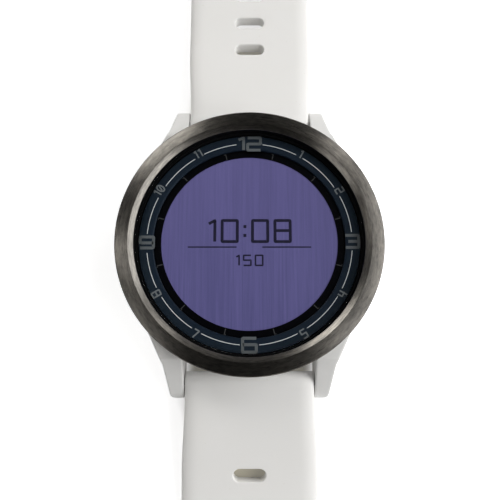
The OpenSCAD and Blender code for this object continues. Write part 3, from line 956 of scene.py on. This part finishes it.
@dataclass
class Studio:
    """Camera, pale floor, surroundings and lamps."""

    eye: tuple[float, float, float] = (0.09, -19.95, 104.75)
    aim: tuple[float, float, float] = (0.09, -1.904, 11.7)
    lens: float = 41.24
    floor_half: float = 3000.0
    floor_tint: Colour = (0.93, 0.935, 0.95)
    glow_span: Point = (170.0, 420.0)
    glow_levels: Point = (0.6, 1.0)
    # tan of the patch under the strap: painted shade, tinted like the table
    under_strap_shade_tint: Colour = (0.6, 0.54, 0.36)
    under_strap_shade_cover: float = 0.85
    lamp_aim: tuple[float, float, float] = (0.0, 0.0, 5.0)

    def build(self) -> None:
        """Makes the whole studio."""
        self.set_camera()
        self.lay_floor()
        self.fill_world()
        self.lamp("right_bank", (1140, -20, 840), (1900, 1000), 18.5, (1.0, 0.995, 0.985))
        self.lamp("upper_left", (-250, 400, 350), (190, 260), 0.88, (1.0, 0.98, 0.94))
        self.lamp("upper_right", (250, 370, 400), (80, 260), 0.22, (1.0, 0.985, 0.96))
        self.lamp("lower_left", (-390, -200, 420), (220, 200), 0.31, (1.0, 0.98, 0.95))
        self.lamp("left_strip", (-300, 80, 500), (60, 240), 0.13, (1.0, 0.98, 0.94))
        self.lamp("high_right", (235, -130, 540), (90, 120), 0.07, (1.0, 0.985, 0.96))
        bpy.context.scene.view_settings.view_transform = "Standard"

    def set_camera(self) -> None:
        """Places the camera above the watch, a little towards 6 o'clock."""
        data = bpy.data.cameras.new("camera")
        data.lens, data.sensor_width = self.lens, 36.0
        data.clip_start, data.clip_end = 0.001, 50.0
        bpy.context.scene.camera = self.aimed("camera", data, self.eye, self.aim)

    @staticmethod
    def aimed(name: str, data: bpy.types.ID, spot: Sequence[float], aim: Sequence[float]) -> bpy.types.Object:
        """Hangs a camera or a lamp so that it faces a point.

        Args:
            name: its name.
            data: its camera or lamp data.
            spot: where it hangs, in millimetres.
            aim: the point that it faces.

        Returns:
            The camera or lamp.
        """
        made = linked(name, data)
        made.location = Vector(spot) * MM
        made.rotation_mode = "QUATERNION"
        made.rotation_quaternion = (Vector(aim) - Vector(spot)).to_track_quat("-Z", "Y")
        return made

    @staticmethod
    def backdrop_rays(graph: Graph, *kinds: str) -> Val:
        """Tells the rays that show the white backdrop: from the camera, through clear glass, and more.

        Args:
            graph: the graph to build in.
            kinds: further kinds of ray, by the Light Path node's names.

        Returns:
            1 for such a ray, else 0.
        """
        path = graph.node("ShaderNodeLightPath").socket.node.outputs
        seen = Val(graph, path["Is Camera Ray"]) + Val(graph, path["Is Transmission Ray"])
        for kind in kinds:
            seen = seen + Val(graph, path[kind])
        return graph.node("ShaderNodeMath", {"operation": "MINIMUM"}, {0: seen, 1: 1.0})

    @staticmethod
    def patch(graph: Graph, half_x: Point, half_y: Point, shift_y: float = 0.0) -> Val:
        """A soft-edged rectangle on the floor.

        Args:
            graph: the graph to build in.
            half_x: half its length along X, to its outer and to its full edge, in millimetres.
            half_y: the same along Y.
            shift_y: how far its middle lies towards 6 o'clock.

        Returns:
            1 inside, 0 outside.
        """
        x, y, _ = graph.axes()
        far_x = graph.node("ShaderNodeMath", {"operation": "ABSOLUTE"}, {0: x})
        far_y = graph.node("ShaderNodeMath", {"operation": "ABSOLUTE"}, {0: y + shift_y})
        return graph.step(far_x, half_x) * graph.step(far_y, half_y)

    def lay_floor(self) -> None:
        """Makes the pale floor, open from below, with a tan patch of painted shade under the strap and its
        slots, tinted like the table.
        """
        half = self.floor_half
        corners = [(-half, -half, 0), (half, -half, 0), (half, half, 0), (-half, half, 0)]
        floor = new_piece("floor", corners, [(0, 1, 2, 3)])
        paint = bpy.data.materials.new("pale_floor")
        paint.use_nodes = True
        paint.node_tree.nodes.clear()
        graph = Graph(paint.node_tree)
        away = graph.step(graph.radius(), self.glow_span, self.glow_levels)
        # painted shade: a tan patch under the strap's root and along its slot row, where the strap shades the
        # floor; the floor's lift stays off there
        near = self.patch(graph, (12.5, 9.5), (33.0, 28.0))
        row = self.patch(graph, (4.6, 3.0), (50.0, 42.0), 3.0)
        under = (near + row - near * row) * self.under_strap_shade_cover
        shade = graph.mix(under, self.floor_tint, self.under_strap_shade_tint)
        # the floor's diffuse, darkened under the strap by the painted shade of the tan patch
        board = graph.node("ShaderNodeBsdfDiffuse", None, {"Color": shade})
        glow = self.backdrop_rays(graph, "Is Glossy Ray") * away * (1 - under)
        lift = graph.node("ShaderNodeEmission", None, {"Color": (1, 1, 1, 1), "Strength": glow})
        both = graph.node("ShaderNodeAddShader", None, {0: board, 1: lift})
        below = graph.node("ShaderNodeNewGeometry", output="Backfacing")
        open_side = graph.node("ShaderNodeBsdfTransparent", None, {"Color": (1, 1, 1, 1)})
        sheet = graph.node("ShaderNodeMixShader", None, {0: below, 1: both, 2: open_side})
        graph.node("ShaderNodeOutputMaterial", None, {"Surface": sheet})
        floor.data.materials.append(paint)

    def fill_world(self) -> None:
        """Surrounds the watch with light from the sides, dim overhead and along the strap."""
        world = bpy.data.worlds.new("surroundings")
        world.use_nodes = True
        world.node_tree.nodes.clear()
        graph = Graph(world.node_tree)
        x, y, z = graph.split(graph.node("ShaderNodeTexCoord", output="Generated"))
        side = (x * x + y * y * 0.3) ** 0.5
        right = graph.step(x, (-0.4, 0.4), (0.3, 1.0))
        low = graph.step(z, (0.4, 0.1), (0.0, 0.45))
        level = graph.step(side, (0.3, 0.95), (0.03, 0.5))
        around = graph.node("ShaderNodeBackground", None,
                            {"Color": (1, 0.99, 0.975, 1), "Strength": (level + low) * right})
        white = graph.node("ShaderNodeBackground", None, {"Color": (1, 1, 1, 1), "Strength": 1.0})
        seen = graph.node("ShaderNodeMixShader", None, {0: self.backdrop_rays(graph), 1: around, 2: white})
        graph.node("ShaderNodeOutputWorld", None, {"Surface": seen})
        bpy.context.scene.world = world

    def lamp(self, name: str, spot: Sequence[float], size: Point, watts: float, tint: Colour) -> None:
        """Hangs one soft box that faces the watch.

        Args:
            name: its name.
            spot: where it hangs, in millimetres.
            size: its width and height in millimetres.
            watts: its power.
            tint: its colour.
        """
        data = bpy.data.lights.new(name, "AREA")
        data.shape, data.size, data.size_y = "RECTANGLE", size[0] * MM, size[1] * MM
        data.energy, data.color = watts, tint
        self.aimed(name, data, spot, self.lamp_aim)


# ---------------------------------------------------------------- head


@dataclass
class Head:
    """Case shell, turned bezel, lens and side button."""

    bezel_r: float = 22.5
    bezel_inner_r: float = 19.35
    bezel_wall_h: float = 1.75
    chamfer: Point = (0.9, 0.55)
    land_drop: float = 0.3
    flank_w: float = 0.17
    spigot_r: float = 18.95
    spigot_wall: float = 0.75
    shelf_h: float = 0.95
    groove_r: float = 0.45
    groove_h: Point = (0.35, 0.9)
    lens_r: float = 19.3
    lens_soft: float = 0.3
    wear: float = 0.07
    shell_voxel: float = 0.19
    button_voxel: float = 0.07

    def build(self) -> None:
        """Makes and dresses the head."""
        shell = softened("case_body", "case_shell", self.shell_voxel, 0.36)
        settle(shell, "case", "white_shell", Coat.CASE, "case_body")
        self.turn_bezel()
        self.turn_lens()
        button = softened("side_button", "button_cap", self.button_voxel, 0.5, 4)
        settle(button, "button", "button_white", Coat.BUTTON, "side_button")

    def turn_bezel(self) -> None:
        """Turns the bezel: a brushed land and chamfer, with painted shade: a near-black inner wall and a
        flank in a darker copy of the metal.
        """
        low, high = box_mm("bezel")
        seat, edge, top = high.z - self.bezel_wall_h, high.z - self.land_drop, high.z
        r, inner, spigot = self.bezel_r, self.bezel_inner_r, self.spigot_r
        shelf, wall, groove = low.z + self.shelf_h, spigot + self.spigot_wall, spigot + self.groove_r
        groove_low, groove_top = (low.z + h for h in self.groove_h)
        outline = [
            (r - 0.3, seat), (r, seat + 0.3), (r, edge - 0.15), (r - 0.15, edge),
            (inner + self.chamfer[0], top), (inner, top - self.chamfer[1]), (inner, shelf), (spigot, shelf),
            (spigot, low.z), (wall, low.z), (wall, groove_low), (groove, groove_low),
            (groove, groove_top), (wall, groove_top), (wall, seat),
        ]
        ring = lathe("bezel_ring", rounded(outline, self.wear, 3), 288, 50)
        settle(ring, "case", "bezel_steel", Coat.BEZEL, "bezel")
        # painted shade: the inner wall, where the bezel shades it, takes the near-black seal finish
        ring.data.materials.append(Coat.LENS_SEAL.value.material())
        # painted shade: the outer flank takes the darker copy of the bezel metal
        ring.data.materials.append(Coat.SHADED_FLANK.value.material())
        for face in ring.data.polygons:
            centre = face.center / MM
            radius = math.hypot(centre.x, centre.y)
            if radius < inner + 0.06 and centre.z < top - 0.6:
                face.material_index = 1
            elif radius > r - self.flank_w:
                face.material_index = 2

    def turn_lens(self) -> None:
        """Turns the lens: flat faces with a polished edge."""
        low, high = box_mm("cover_lens")
        r, soft = self.lens_r, self.lens_soft
        outline = [(0, low.z), (r - 0.12, low.z), (r, low.z + 0.12), (r, high.z - soft), (r - soft, high.z),
                   (0, high.z)]
        body = rounded(outline[1:5], 0.1, 3)
        glass = lathe("lens_glass", [outline[0], *body, outline[-1]], 256, 50)
        settle(glass, "case", "lens_glass", Coat.LENS, "cover_lens")


# ---------------------------------------------------------------- numerals and marks


class Glyph(Enum):
    """Strokes of the squared numerals, as points in a box one wide and one high."""

    ZERO = (((0, 0), (1, 0), (1, 1), (0, 1), (0, 0)),)
    SLASHED_ZERO = (
        ((0.3, 0), (0.7, 0), (1, 0.28), (1, 0.72), (0.7, 1), (0.3, 1), (0, 0.72), (0, 0.28), (0.3, 0)),
        ((0.3, 0.22), (0.7, 0.78)),
    )
    ONE = (((1, 0), (1, 1), (0, 0.84)),)
    TWO = (((0, 1), (1, 1), (1, 0.5), (0, 0.5), (0, 0), (1, 0)),)
    THREE = (((0, 1), (1, 1), (1, 0), (0, 0)), ((0.22, 0.5), (1, 0.5)))
    FOUR = (((0, 1), (0, 0.42), (1, 0.42)), ((0.8, 1), (0.8, 0)))
    FIVE = (((1, 1), (0, 1), (0, 0.52), (1, 0.52), (1, 0), (0, 0)),)
    SIX = (((1, 1), (0, 1), (0, 0), (1, 0), (1, 0.54), (0, 0.54)),)
    SEVEN = (((0, 1), (1, 1), (0.45, 0)),)
    EIGHT = (((0, 0), (1, 0), (1, 1), (0, 1), (0, 0)), ((0, 0.52), (1, 0.52)))
    NINE = (((0, 0), (1, 0), (1, 1), (0, 1), (0, 0.46), (1, 0.46)),)
    COLON = (((0.5, 0.22), (0.5, 0.36)), ((0.5, 0.64), (0.5, 0.78)))


@dataclass
class Plate:
    """Flat marks, gathered as one thin raised piece."""

    name: str
    z: float
    thick: float
    points: list = field(default_factory=list)
    faces: list = field(default_factory=list)

    def strip(self, path: Sequence[Point], width: float, lift: float = 0.0) -> None:
        """Adds a strip of even width along a path, with mitred corners and closed sides.

        Args:
            path: its centre line.
            width: its width.
            lift: how far above the plate's own height it starts.
        """
        closed = (Vector(path[0]) - Vector(path[-1])).length < 1e-6
        line = [Vector(p) for p in (path[:-1] if closed else path)]
        count, first = len(line), len(self.points)
        for i, here in enumerate(line):
            before = line[i - 1] if closed or i else here
            after = line[(i + 1) % count] if closed or i < count - 1 else here
            a = (here - before).normalized() if before != here else (after - here).normalized()
            b = (after - here).normalized() if after != here else a
            side = Vector((-a.y - b.y, a.x + b.x)).normalized()
            reach = width / 2 / max(0.35, side.dot(Vector((-a.y, a.x))))
            for z in (self.z + lift, self.z + lift + self.thick):
                self.points += [(*(here + side * reach), z), (*(here - side * reach), z)]
        for i in range(count if closed else count - 1):
            s, t = first + 4 * i, first + 4 * ((i + 1) % count)
            self.faces += [(s, t, t + 1, s + 1), (s + 2, s + 3, t + 3, t + 2),
                           (s, s + 2, t + 2, t), (s + 1, t + 1, t + 3, s + 3)]
        if not closed:
            last = first + 4 * (count - 1)
            self.faces += [(first, first + 1, first + 3, first + 2), (last, last + 2, last + 3, last + 1)]

    def arc(self, radius: float, start: float, end: float, width: float) -> None:
        """Adds an arc about the axis.

        Args:
            radius: its radius.
            start: where it starts, in degrees clockwise from 12 o'clock.
            end: where it ends.
            width: the line's width.
        """
        steps = max(2, int(abs(end - start) / 1.2))
        turns = [math.radians(start + (end - start) * i / steps) for i in range(steps + 1)]
        self.strip([(radius * math.sin(a), radius * math.cos(a)) for a in turns], width)

    def numeral(self, glyphs: Sequence[Glyph], centre: Point, turn: float, size: Point, stroke: float,
                space: float) -> None:
        """Adds a numeral.

        Args:
            glyphs: its digits.
            centre: the middle of the whole numeral.
            turn: its rotation, in degrees clockwise.
            size: each digit's outer width and height.
            stroke: the stroke's width.
            space: the gap between digits.
        """
        widths = [self.digit_width(g, size[0], stroke) for g in glyphs]
        total = sum(widths) + space * (len(glyphs) - 1)
        a = math.radians(-turn)
        pen = -total / 2
        for glyph, width in zip(glyphs, widths):
            for number, path in enumerate(glyph.value):
                spots = []
                for u, v in path:
                    x = pen + stroke / 2 + u * (width - stroke)
                    y = (v - 0.5) * (size[1] - stroke)
                    spots.append((centre[0] + x * math.cos(a) - y * math.sin(a),
                                  centre[1] + x * math.sin(a) + y * math.cos(a)))
                self.strip(self.softly(spots, stroke), stroke, 0.004 * number)
            pen += width + space

    @staticmethod
    def digit_width(glyph: Glyph, width: float, stroke: float) -> float:
        """Finds how wide a digit is: a 1 and a colon are narrow.

        Args:
            glyph: the digit.
            width: a full digit's outer width.
            stroke: the stroke's width.

        Returns:
            The digit's outer width.
        """
        if glyph is Glyph.ONE:
            return stroke + 0.4 * (width - stroke)
        return stroke * 1.2 if glyph is Glyph.COLON else width

    @staticmethod
    def softly(path: Sequence[Point], stroke: float) -> list[Point]:
        """Rounds the corners of a stroke's centre line.

        Args:
            path: the centre line.
            stroke: the stroke's width.

        Returns:
            The softer line.
        """
        if (Vector(path[0]) - Vector(path[-1])).length > 1e-6:
            return rounded(path, stroke * 0.3, 2, closed=False)
        ring = rounded(path[:-1], stroke * 0.3, 2)
        return [*ring, ring[0]]

    def piece(self) -> bpy.types.Object:
        """The marks as one object."""
        return new_piece(self.name, self.points, self.faces, 30)


@dataclass
class Dial:
    """Hour ring with its numerals, arcs and half-hour ticks, and the display's digits."""

    inner_r: float = 16.3
    outer_r: float = 18.8
    line_r: float = 17.42
    line_w: float = 0.105
    bold_r: float = 17.4
    bold_size: Point = (2.75, 2.75)
    bold_stroke: float = 0.5
    fine_r: float = 17.93
    fine_size: Point = (1.1, 1.65)
    fine_stroke: float = 0.25
    tick_r: float = 15.2
    tick_w: float = 0.16
    time_size: Point = (3.1, 4.2)
    time_y: float = 1.9
    time_stroke: float = 0.5
    time_gap: float = 0.75
    distance_size: Point = (1.5, 2.0)
    distance_y: float = -3.2
    distance_stroke: float = 0.27
    distance_gap: float = 0.5
    rule: Point = (2.2, 10.5)
    rule_y: float = -0.9
    rule_w: float = 0.22

    def build(self) -> None:
        """Makes and dresses the dial."""
        _, ring_top = box_mm("hour_ring")
        self.turn_ring()
        bold = Plate("bold_numerals", ring_top.z - 0.01, 0.06)
        fine = Plate("fine_numerals", ring_top.z - 0.01, 0.03)
        lines = Plate("hour_lines", ring_top.z - 0.01, 0.03)
        self.draw_hours(bold, fine)
        self.draw_lines(lines)
        settle(bold.piece(), "case", "ring_print", Coat.BOLD_INK)
        settle(fine.piece(), "case", "ring_print", Coat.FINE_INK)
        settle(lines.piece(), "case", "ring_print", Coat.LINE_INK)
        self.lay_ticks()
        self.draw_time()

    def turn_ring(self) -> None:
        """Turns the hour ring: a flat band with a raised lip along its inner edge."""
        low, high = box_mm("hour_ring")
        a, b = self.inner_r, self.outer_r
        outline = [(a, low.z), (b, low.z), (b, high.z - 0.06), (b - 0.06, high.z), (a + 0.16, high.z),
                   (a + 0.1, high.z - 0.05), (a + 0.03, high.z - 0.08)]
        band = lathe("hour_band", rounded(outline, 0.03, 2), 288, 30)
        settle(band, "case", "ring_print", Coat.RING, "hour_ring")

    def draw_hours(self, bold: Plate, fine: Plate) -> None:
        """Draws the twelve numerals: 12, 3, 6 and 9 upright, the rest along the ring.

        Args:
            bold: takes the four upright numerals.
            fine: takes the small ones.
        """
        r = self.bold_r
        wide, tall = self.bold_size
        upright = [((Glyph.ONE, Glyph.TWO), (0.0, r), tall), ((Glyph.THREE,), (r, -0.03), 0.94 * tall),
                   ((Glyph.SIX,), (0.0, -r), tall), ((Glyph.NINE,), (-r, -0.22), 0.87 * tall)]
        for glyphs, centre, height in upright:
            bold.numeral(glyphs, centre, 0, (wide, height), self.bold_stroke, 0.2)
        along = {1: (Glyph.ONE,), 2: (Glyph.TWO,), 4: (Glyph.FOUR,), 5: (Glyph.FIVE,), 7: (Glyph.SEVEN,),
                 8: (Glyph.EIGHT,), 10: (Glyph.ONE, Glyph.SLASHED_ZERO), 11: (Glyph.ONE, Glyph.ONE)}
        for hour, glyphs in along.items():
            a = math.radians(30 * hour)
            turn = 30 * hour + (180 if 3 < hour < 9 else 0)
            centre = (self.fine_r * math.sin(a), self.fine_r * math.cos(a))
            fine.numeral(glyphs, centre, turn, self.fine_size, self.fine_stroke, 0.2)

    def draw_lines(self, lines: Plate) -> None:
        """Draws the thin arc between each pair of numerals.

        Args:
            lines: takes the arcs.
        """
        small = 3.0
        clear = {0: 7.6, 1: 2.2, 3: 5.3, 4: 2.6, 6: 5.3, 9: 5.4, 10: 4.0}
        lower = {9: -1.2}
        for hour in range(12):
            after = (hour + 1) % 12
            start = 30 * hour + clear.get(hour, small) + lower.get(hour, 0.0)
            end = 30 * (hour + 1) - clear.get(after, small) + lower.get(after, 0.0)
            lines.arc(self.line_r, start, end, self.line_w)

    def lay_ticks(self) -> None:
        """Lays the faint half-hour ticks inside the ring."""
        _, mask_top = box_mm("display_mask")
        tick = Plate("tick", 0.0, 0.02)
        reach = self.inner_r - self.tick_r
        tick.strip([(0, 0), (0, reach - 0.1)], self.tick_w)
        tick.strip([(-0.3, reach - 0.16), (-0.08, reach - 0.16)], 0.14)
        turns = [math.radians(15 + 30 * k) for k in range(12)]
        r = self.tick_r
        spots = [Vector((r * math.sin(a), r * math.cos(a), mask_top.z)) for a in turns]
        ticks = Repeat("ticks_round_the_ring", Coat.TICK_INK).lay(
            "half_hour_ticks", tick.piece(), spots, [Vector((0, 0, -a)) for a in turns])
        settle(ticks, "case", "ring_print", Coat.TICK_INK)

    def draw_time(self) -> None:
        """Draws the display's digits: a plain time over a plain distance."""
        _, top = box_mm("display_panel")
        shown = Plate("display_digits", top.z, 0.015)
        time = (Glyph.ONE, Glyph.ZERO, Glyph.COLON, Glyph.ZERO, Glyph.EIGHT)
        distance = (Glyph.ONE, Glyph.FIVE, Glyph.ZERO)
        shown.numeral(time, (0, self.time_y), 0, self.time_size, self.time_stroke, self.time_gap)
        shown.numeral(distance, (0, self.distance_y), 0, self.distance_size, self.distance_stroke,
                      self.distance_gap)
        near, far = self.rule
        shown.strip([(-far, self.rule_y), (-near, self.rule_y)], self.rule_w)
        shown.strip([(near, self.rule_y), (far, self.rule_y)], self.rule_w)
        settle(shown.piece(), "case", "display_glass", Coat.DIGIT_INK)


# ---------------------------------------------------------------- strap


THIN_SQ = 0.0004  # square of the least half height that a round keeps


def round_off(over: float, radius: float, least_sq: float = 0.0) -> float:
    """What a round end takes away at a distance into it, where it keeps at least some height."""
    return radius - math.sqrt(max(least_sq, radius ** 2 - min(max(over, 0.0), radius) ** 2))


def eye(half: float, radius: float, off: float, past: bool) -> float:
    """Rounds a strap's end over the eye that holds a bar.

    Args:
        half: half the strap's thickness.
        radius: the eye's outer radius.
        off: the distance from the bar's axis.
        past: True beyond the axis, where only the round is left.

    Returns:
        Half the thickness there.
    """
    swell = math.sqrt(max(THIN_SQ, radius ** 2 - off * off))
    return swell if past else max(half, swell)


@dataclass
class StrapHalf:
    """One half of the silicone strap, lofted along its run from the spring bar to its end."""

    node: str
    hinge: str
    way: int
    run_z: float
    pitch: float
    slots: int
    pin: str | None = None
    first: float = 15.05
    slot_size: Point = (5.5, 2.15)
    root_r: float = 1.95
    pin_r: float = 1.7
    root_t: float = 3.3
    run_t: float = 2.5
    droop: float = 22.0
    widths: tuple[float, float, float] = (22.0, 23.0, 20.0)
    flare: float = 15.0
    taper: Point = (26.0, 44.0)
    tip_r: float = 8.0
    edge_r: float = 0.95
    under_r: float = 0.7
    crown: float = 0.05
    pace: float = 0.85
    shoulder: float = 3.0
    rim: float = 0.14
    bore_r: float = 0.8
    lever_x: Point = (4.2, 7.7)
    lever_y: Point = (3.0, 1.4)
    notch_half: float = 2.75
    notch_y: Point = (3.6, 4.0)

    def __post_init__(self) -> None:
        """Reads the places that the frame sets."""
        low, high = box_mm(self.node)
        self.bar = joint_mm(self.hinge)
        far = high.y if self.way > 0 else low.y
        self.length = abs(far - self.bar.y) - (self.pin_r if self.pin else 0.0)

    def half_width(self, u: float) -> float:
        """Finds half the strap's width: it flares from the lugs, narrows to the run and ends round.

        Args:
            u: the distance from the spring bar.

        Returns:
            Half the width there.
        """
        lug, wide, run = self.widths
        if u < self.flare:
            half = blend(lug, wide, smooth((u - 2) / (self.flare - 2))) / 2
        else:
            half = blend(wide, run, smooth((u - self.taper[0]) / (self.taper[1] - self.taper[0]))) / 2
        if not self.pin:
            half -= round_off(u - (self.length - self.tip_r), self.tip_r)
        return half

    def mid_z(self, u: float) -> float:
        """Height of the strap's middle."""
        return blend(self.bar.z, self.run_z, smooth(u / self.droop))

    def half_thick(self, u: float) -> float:
        """Finds half the strap's thickness, with the round ends at the spring bar and the pin.

        Args:
            u: the distance from the spring bar.

        Returns:
            Half the thickness there.
        """
        half = blend(self.root_t, self.run_t, smooth(u / self.droop)) / 2
        if u < self.root_r:
            half = eye(half, self.root_r, u, u < 0)
        off = u - self.length
        if not self.pin:
            half -= round_off(u - (self.length - self.edge_r), self.edge_r, THIN_SQ)
        elif abs(off) < self.pin_r:
            half = eye(half, self.pin_r, off, off > 0)
        return max(half, 0.05)

    def stations(self) -> list[float]:
        """Chooses where sections stand: close together at the round ends.

        Returns:
            Distances from the spring bar.
        """
        angles = (3, 12, 22, 32, 42, 52, 62, 72, 82)
        round_start = [-self.root_r * math.cos(math.radians(a)) for a in angles]
        end = self.length + (self.pin_r if self.pin else 0.0)
        tail = self.pin_r + 1.2 if self.pin else self.tip_r + 0.4
        body_end = end - tail - (self.pin_r if self.pin else 0.0)
        body = [i * self.pace for i in range(int(body_end / self.pace))]
        if self.pin:
            span = end - body_end
            close = [body_end + span * math.sin(math.radians(a)) for a in range(0, 88, 3)]
        else:
            close = [body_end + tail * math.sin(math.radians(a)) for a in range(0, 89, 3)] + [end - 0.002]
        return [*round_start, *body, *close]

    def section(self, u: float) -> list[tuple[float, float, float]]:
        """Draws one closed section across the strap, with a crowned top and rounded edges.

        Args:
            u: the distance from the spring bar.

        Returns:
            The section's points.
        """
        half, thick, mid = self.half_width(u), self.half_thick(u), self.mid_z(u)
        top, low = min(self.edge_r, thick * 0.9), min(self.under_r, thick * 0.7)
        crown = min(self.crown, thick * 0.1)
        side = min(half * 0.9, self.shoulder * min(1.0, thick / (self.run_t / 2)))
        under = min(half * 0.9, low)
        ring = []
        for k in range(11):
            a = math.radians(90 * k / 10)
            ring.append((half - side + side * math.sin(a), thick - crown - top + top * math.cos(a)))
        for k in range(6):
            a = math.radians(90 * k / 5)
            ring.append((half - under + under * math.cos(a), -thick + low - low * math.sin(a)))
        flat = [(half - under) * (1 - 2 * k / 8) for k in range(1, 8)]
        left = [(-x, z) for x, z in reversed(ring)]
        roof = [(half - side) * (-1 + 2 * k / 10) for k in range(1, 10)]
        ring += [(x, -thick) for x in flat] + left
        ring += [(x, thick - crown + crown * (1 - (x / (half - side)) ** 2)) for x in roof]
        return [(x, self.bar.y + self.way * u, mid + z) for x, z in ring]

    def slot_cutter(self) -> bpy.types.Object:
        """Makes the cutter of one slot, round the origin, which leaves soft rims.

        Returns:
            The cutter.
        """
        half_l, half_w = self.slot_size[0] / 2, self.slot_size[1] / 2
        base = self.run_t / 2
        levels = [(-base - 1.0, self.rim)]
        for k in range(5):
            drop = self.rim * k / 4
            levels.append((-base + drop, round_off(self.rim - drop, self.rim)))
        levels += [(-z, out) for z, out in reversed(levels)]
        sides, reach = 10, half_l - half_w
        turns = [(end, math.radians(-90 + 180 * k / sides) + (0 if end > 0 else math.pi))
                 for end in (1, -1) for k in range(sides + 1)]
        rings = []
        for z, out in levels:
            r = half_w + out
            rings.append([(end * reach + r * math.cos(a), r * math.sin(a), z) for end, a in turns])
        return skin("slot_cutter", rings)

    def slot_row(self) -> bpy.types.Object:
        """Lays the cutters of the whole row, each tilted with the strap.

        Returns:
            All the cutters as one piece.
        """
        spots, turns = [], []
        for i in range(self.slots):
            u = self.first + i * self.pitch
            slope = (self.mid_z(u + 0.5) - self.mid_z(u - 0.5)) * self.way
            spots.append(Vector((0, self.bar.y + self.way * u, self.mid_z(u))))
            turns.append(Vector((math.atan(slope), 0, 0)))
        row = Repeat(self.node + "_slot_row", Coat.STRAP)
        return row.lay(self.node + "_slots", self.slot_cutter(), spots, turns)

    def build(self, body: str) -> bpy.types.Object:
        """Makes and dresses the strap half.

        Args:
            body: the CAD body that it moves with.

        Returns:
            The finished half.
        """
        wide, bar = self.widths[0], self.bar
        cutters = [self.slot_row(), bar_x("bar_bore", wide, self.bore_r, bar.y, bar.z)]
        near, far = sorted((bar.y - self.lever_y[0] * self.way, bar.y + self.lever_y[1] * self.way))
        left, right = self.lever_x
        cutters.append(block("lever_recess", (left, near, bar.z - 5), (right, far, bar.z - 0.2)))
        if self.pin:
            hole = joint_mm(self.pin)
            cutters.append(bar_x("pin_bore", wide, self.bore_r, hole.y, hole.z))
            near, far = hole.y - self.notch_y[0], hole.y + self.notch_y[1]
            cutters.append(block("tongue_notch", (-self.notch_half, near, -3), (self.notch_half, far, 9)))
        whole = skin(self.node + "_half", [self.section(u) for u in self.stations()], 50)
        half = cut_by(whole, cutters)
        return settle(half, body, "white_silicone", Coat.STRAP, self.node)


@dataclass
class Keepers:
    """The two silicone loops that hold the long half down."""

    voxel: float = 0.16

    def build(self) -> None:
        """Makes and dresses both loops."""
        for node, body in (("keeper_fixed", "strap_upper"), ("keeper_free", "keeper_free")):
            loop = softened(node, node + "_loop", self.voxel, 0.45)
            settle(loop, body, "white_silicone", Coat.STRAP, node)


@dataclass
class Buckle:
    """Pin buckle: frame and tongue."""

    frame_voxel: float = 0.11
    tongue_voxel: float = 0.08

    def build(self) -> None:
        """Makes and dresses the buckle."""
        hoop = softened("buckle_frame", "buckle_hoop", self.frame_voxel, 0.4)
        settle(hoop, "buckle", "buckle_steel", Coat.BUCKLE, "buckle_frame")
        prong = softened("buckle_tongue", "buckle_prong", self.tongue_voxel, 0.4)
        settle(prong, "tongue", "buckle_steel", Coat.BUCKLE, "buckle_tongue")


# ---------------------------------------------------------------- the parts that stay as packed


@dataclass
class Works:
    """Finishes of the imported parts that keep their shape."""

    coats: dict[Coat, tuple[str, ...]] = field(default_factory=lambda: {
        Coat.BACK: ("case_back",),
        Coat.SEAL: ("back_gasket", "bezel_gasket", "button_seal"),
        Coat.LENS_SEAL: ("lens_gasket",),
        Coat.MASK: ("display_mask",),
        Coat.DISPLAY: ("display_panel",),
        Coat.GUIDE: ("backlight",),
        Coat.BLACK: ("display_carrier", "board_chips", "buzzer"),
        Coat.BOARD: ("main_board", "radio_module"),
        Coat.COPPER: ("display_flex",),
        Coat.TIN: ("satellite_receiver", "button_switch", "vibration_motor"),
        Coat.GOLD: ("charge_contacts", "contact_pins", "satellite_antenna"),
        Coat.CELL: ("battery",),
        Coat.FOAM: ("battery_pad",),
        Coat.CREAM: ("battery_plug",),
        Coat.WIRE: ("battery_leads",),
        Coat.STEEL: ("back_screws", "board_screws", "button_clip", "button_spring", "upper_bar_tube",
                     "upper_bar_spring", "upper_bar_tip", "upper_bar_release", "lower_bar_tube",
                     "lower_bar_spring", "lower_bar_tip", "lower_bar_release", "buckle_pin"),
    })

    def dress(self) -> None:
        """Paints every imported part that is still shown."""
        for coat, nodes in self.coats.items():
            for node in nodes:
                coat.paint(frame["nodes"][node])
                log.info("%s: %s", node, coat.name)


def main() -> None:
    """Builds the studio and the watch."""
    logging.basicConfig(level=logging.INFO, format="%(name)s %(message)s")
    Studio().build()
    Head().build()
    Dial().build()
    StrapHalf("strap_upper", "strap_upper_hinge", 1, 2.55, 5.9, 5, pin="buckle_hinge").build("strap_upper")
    StrapHalf("strap_lower", "strap_lower_hinge", -1, 1.25, 5.35, 16).build("strap_lower")
    Keepers().build()
    Buckle().build()
    Works().dress()


if __name__ == "__main__":
    main()
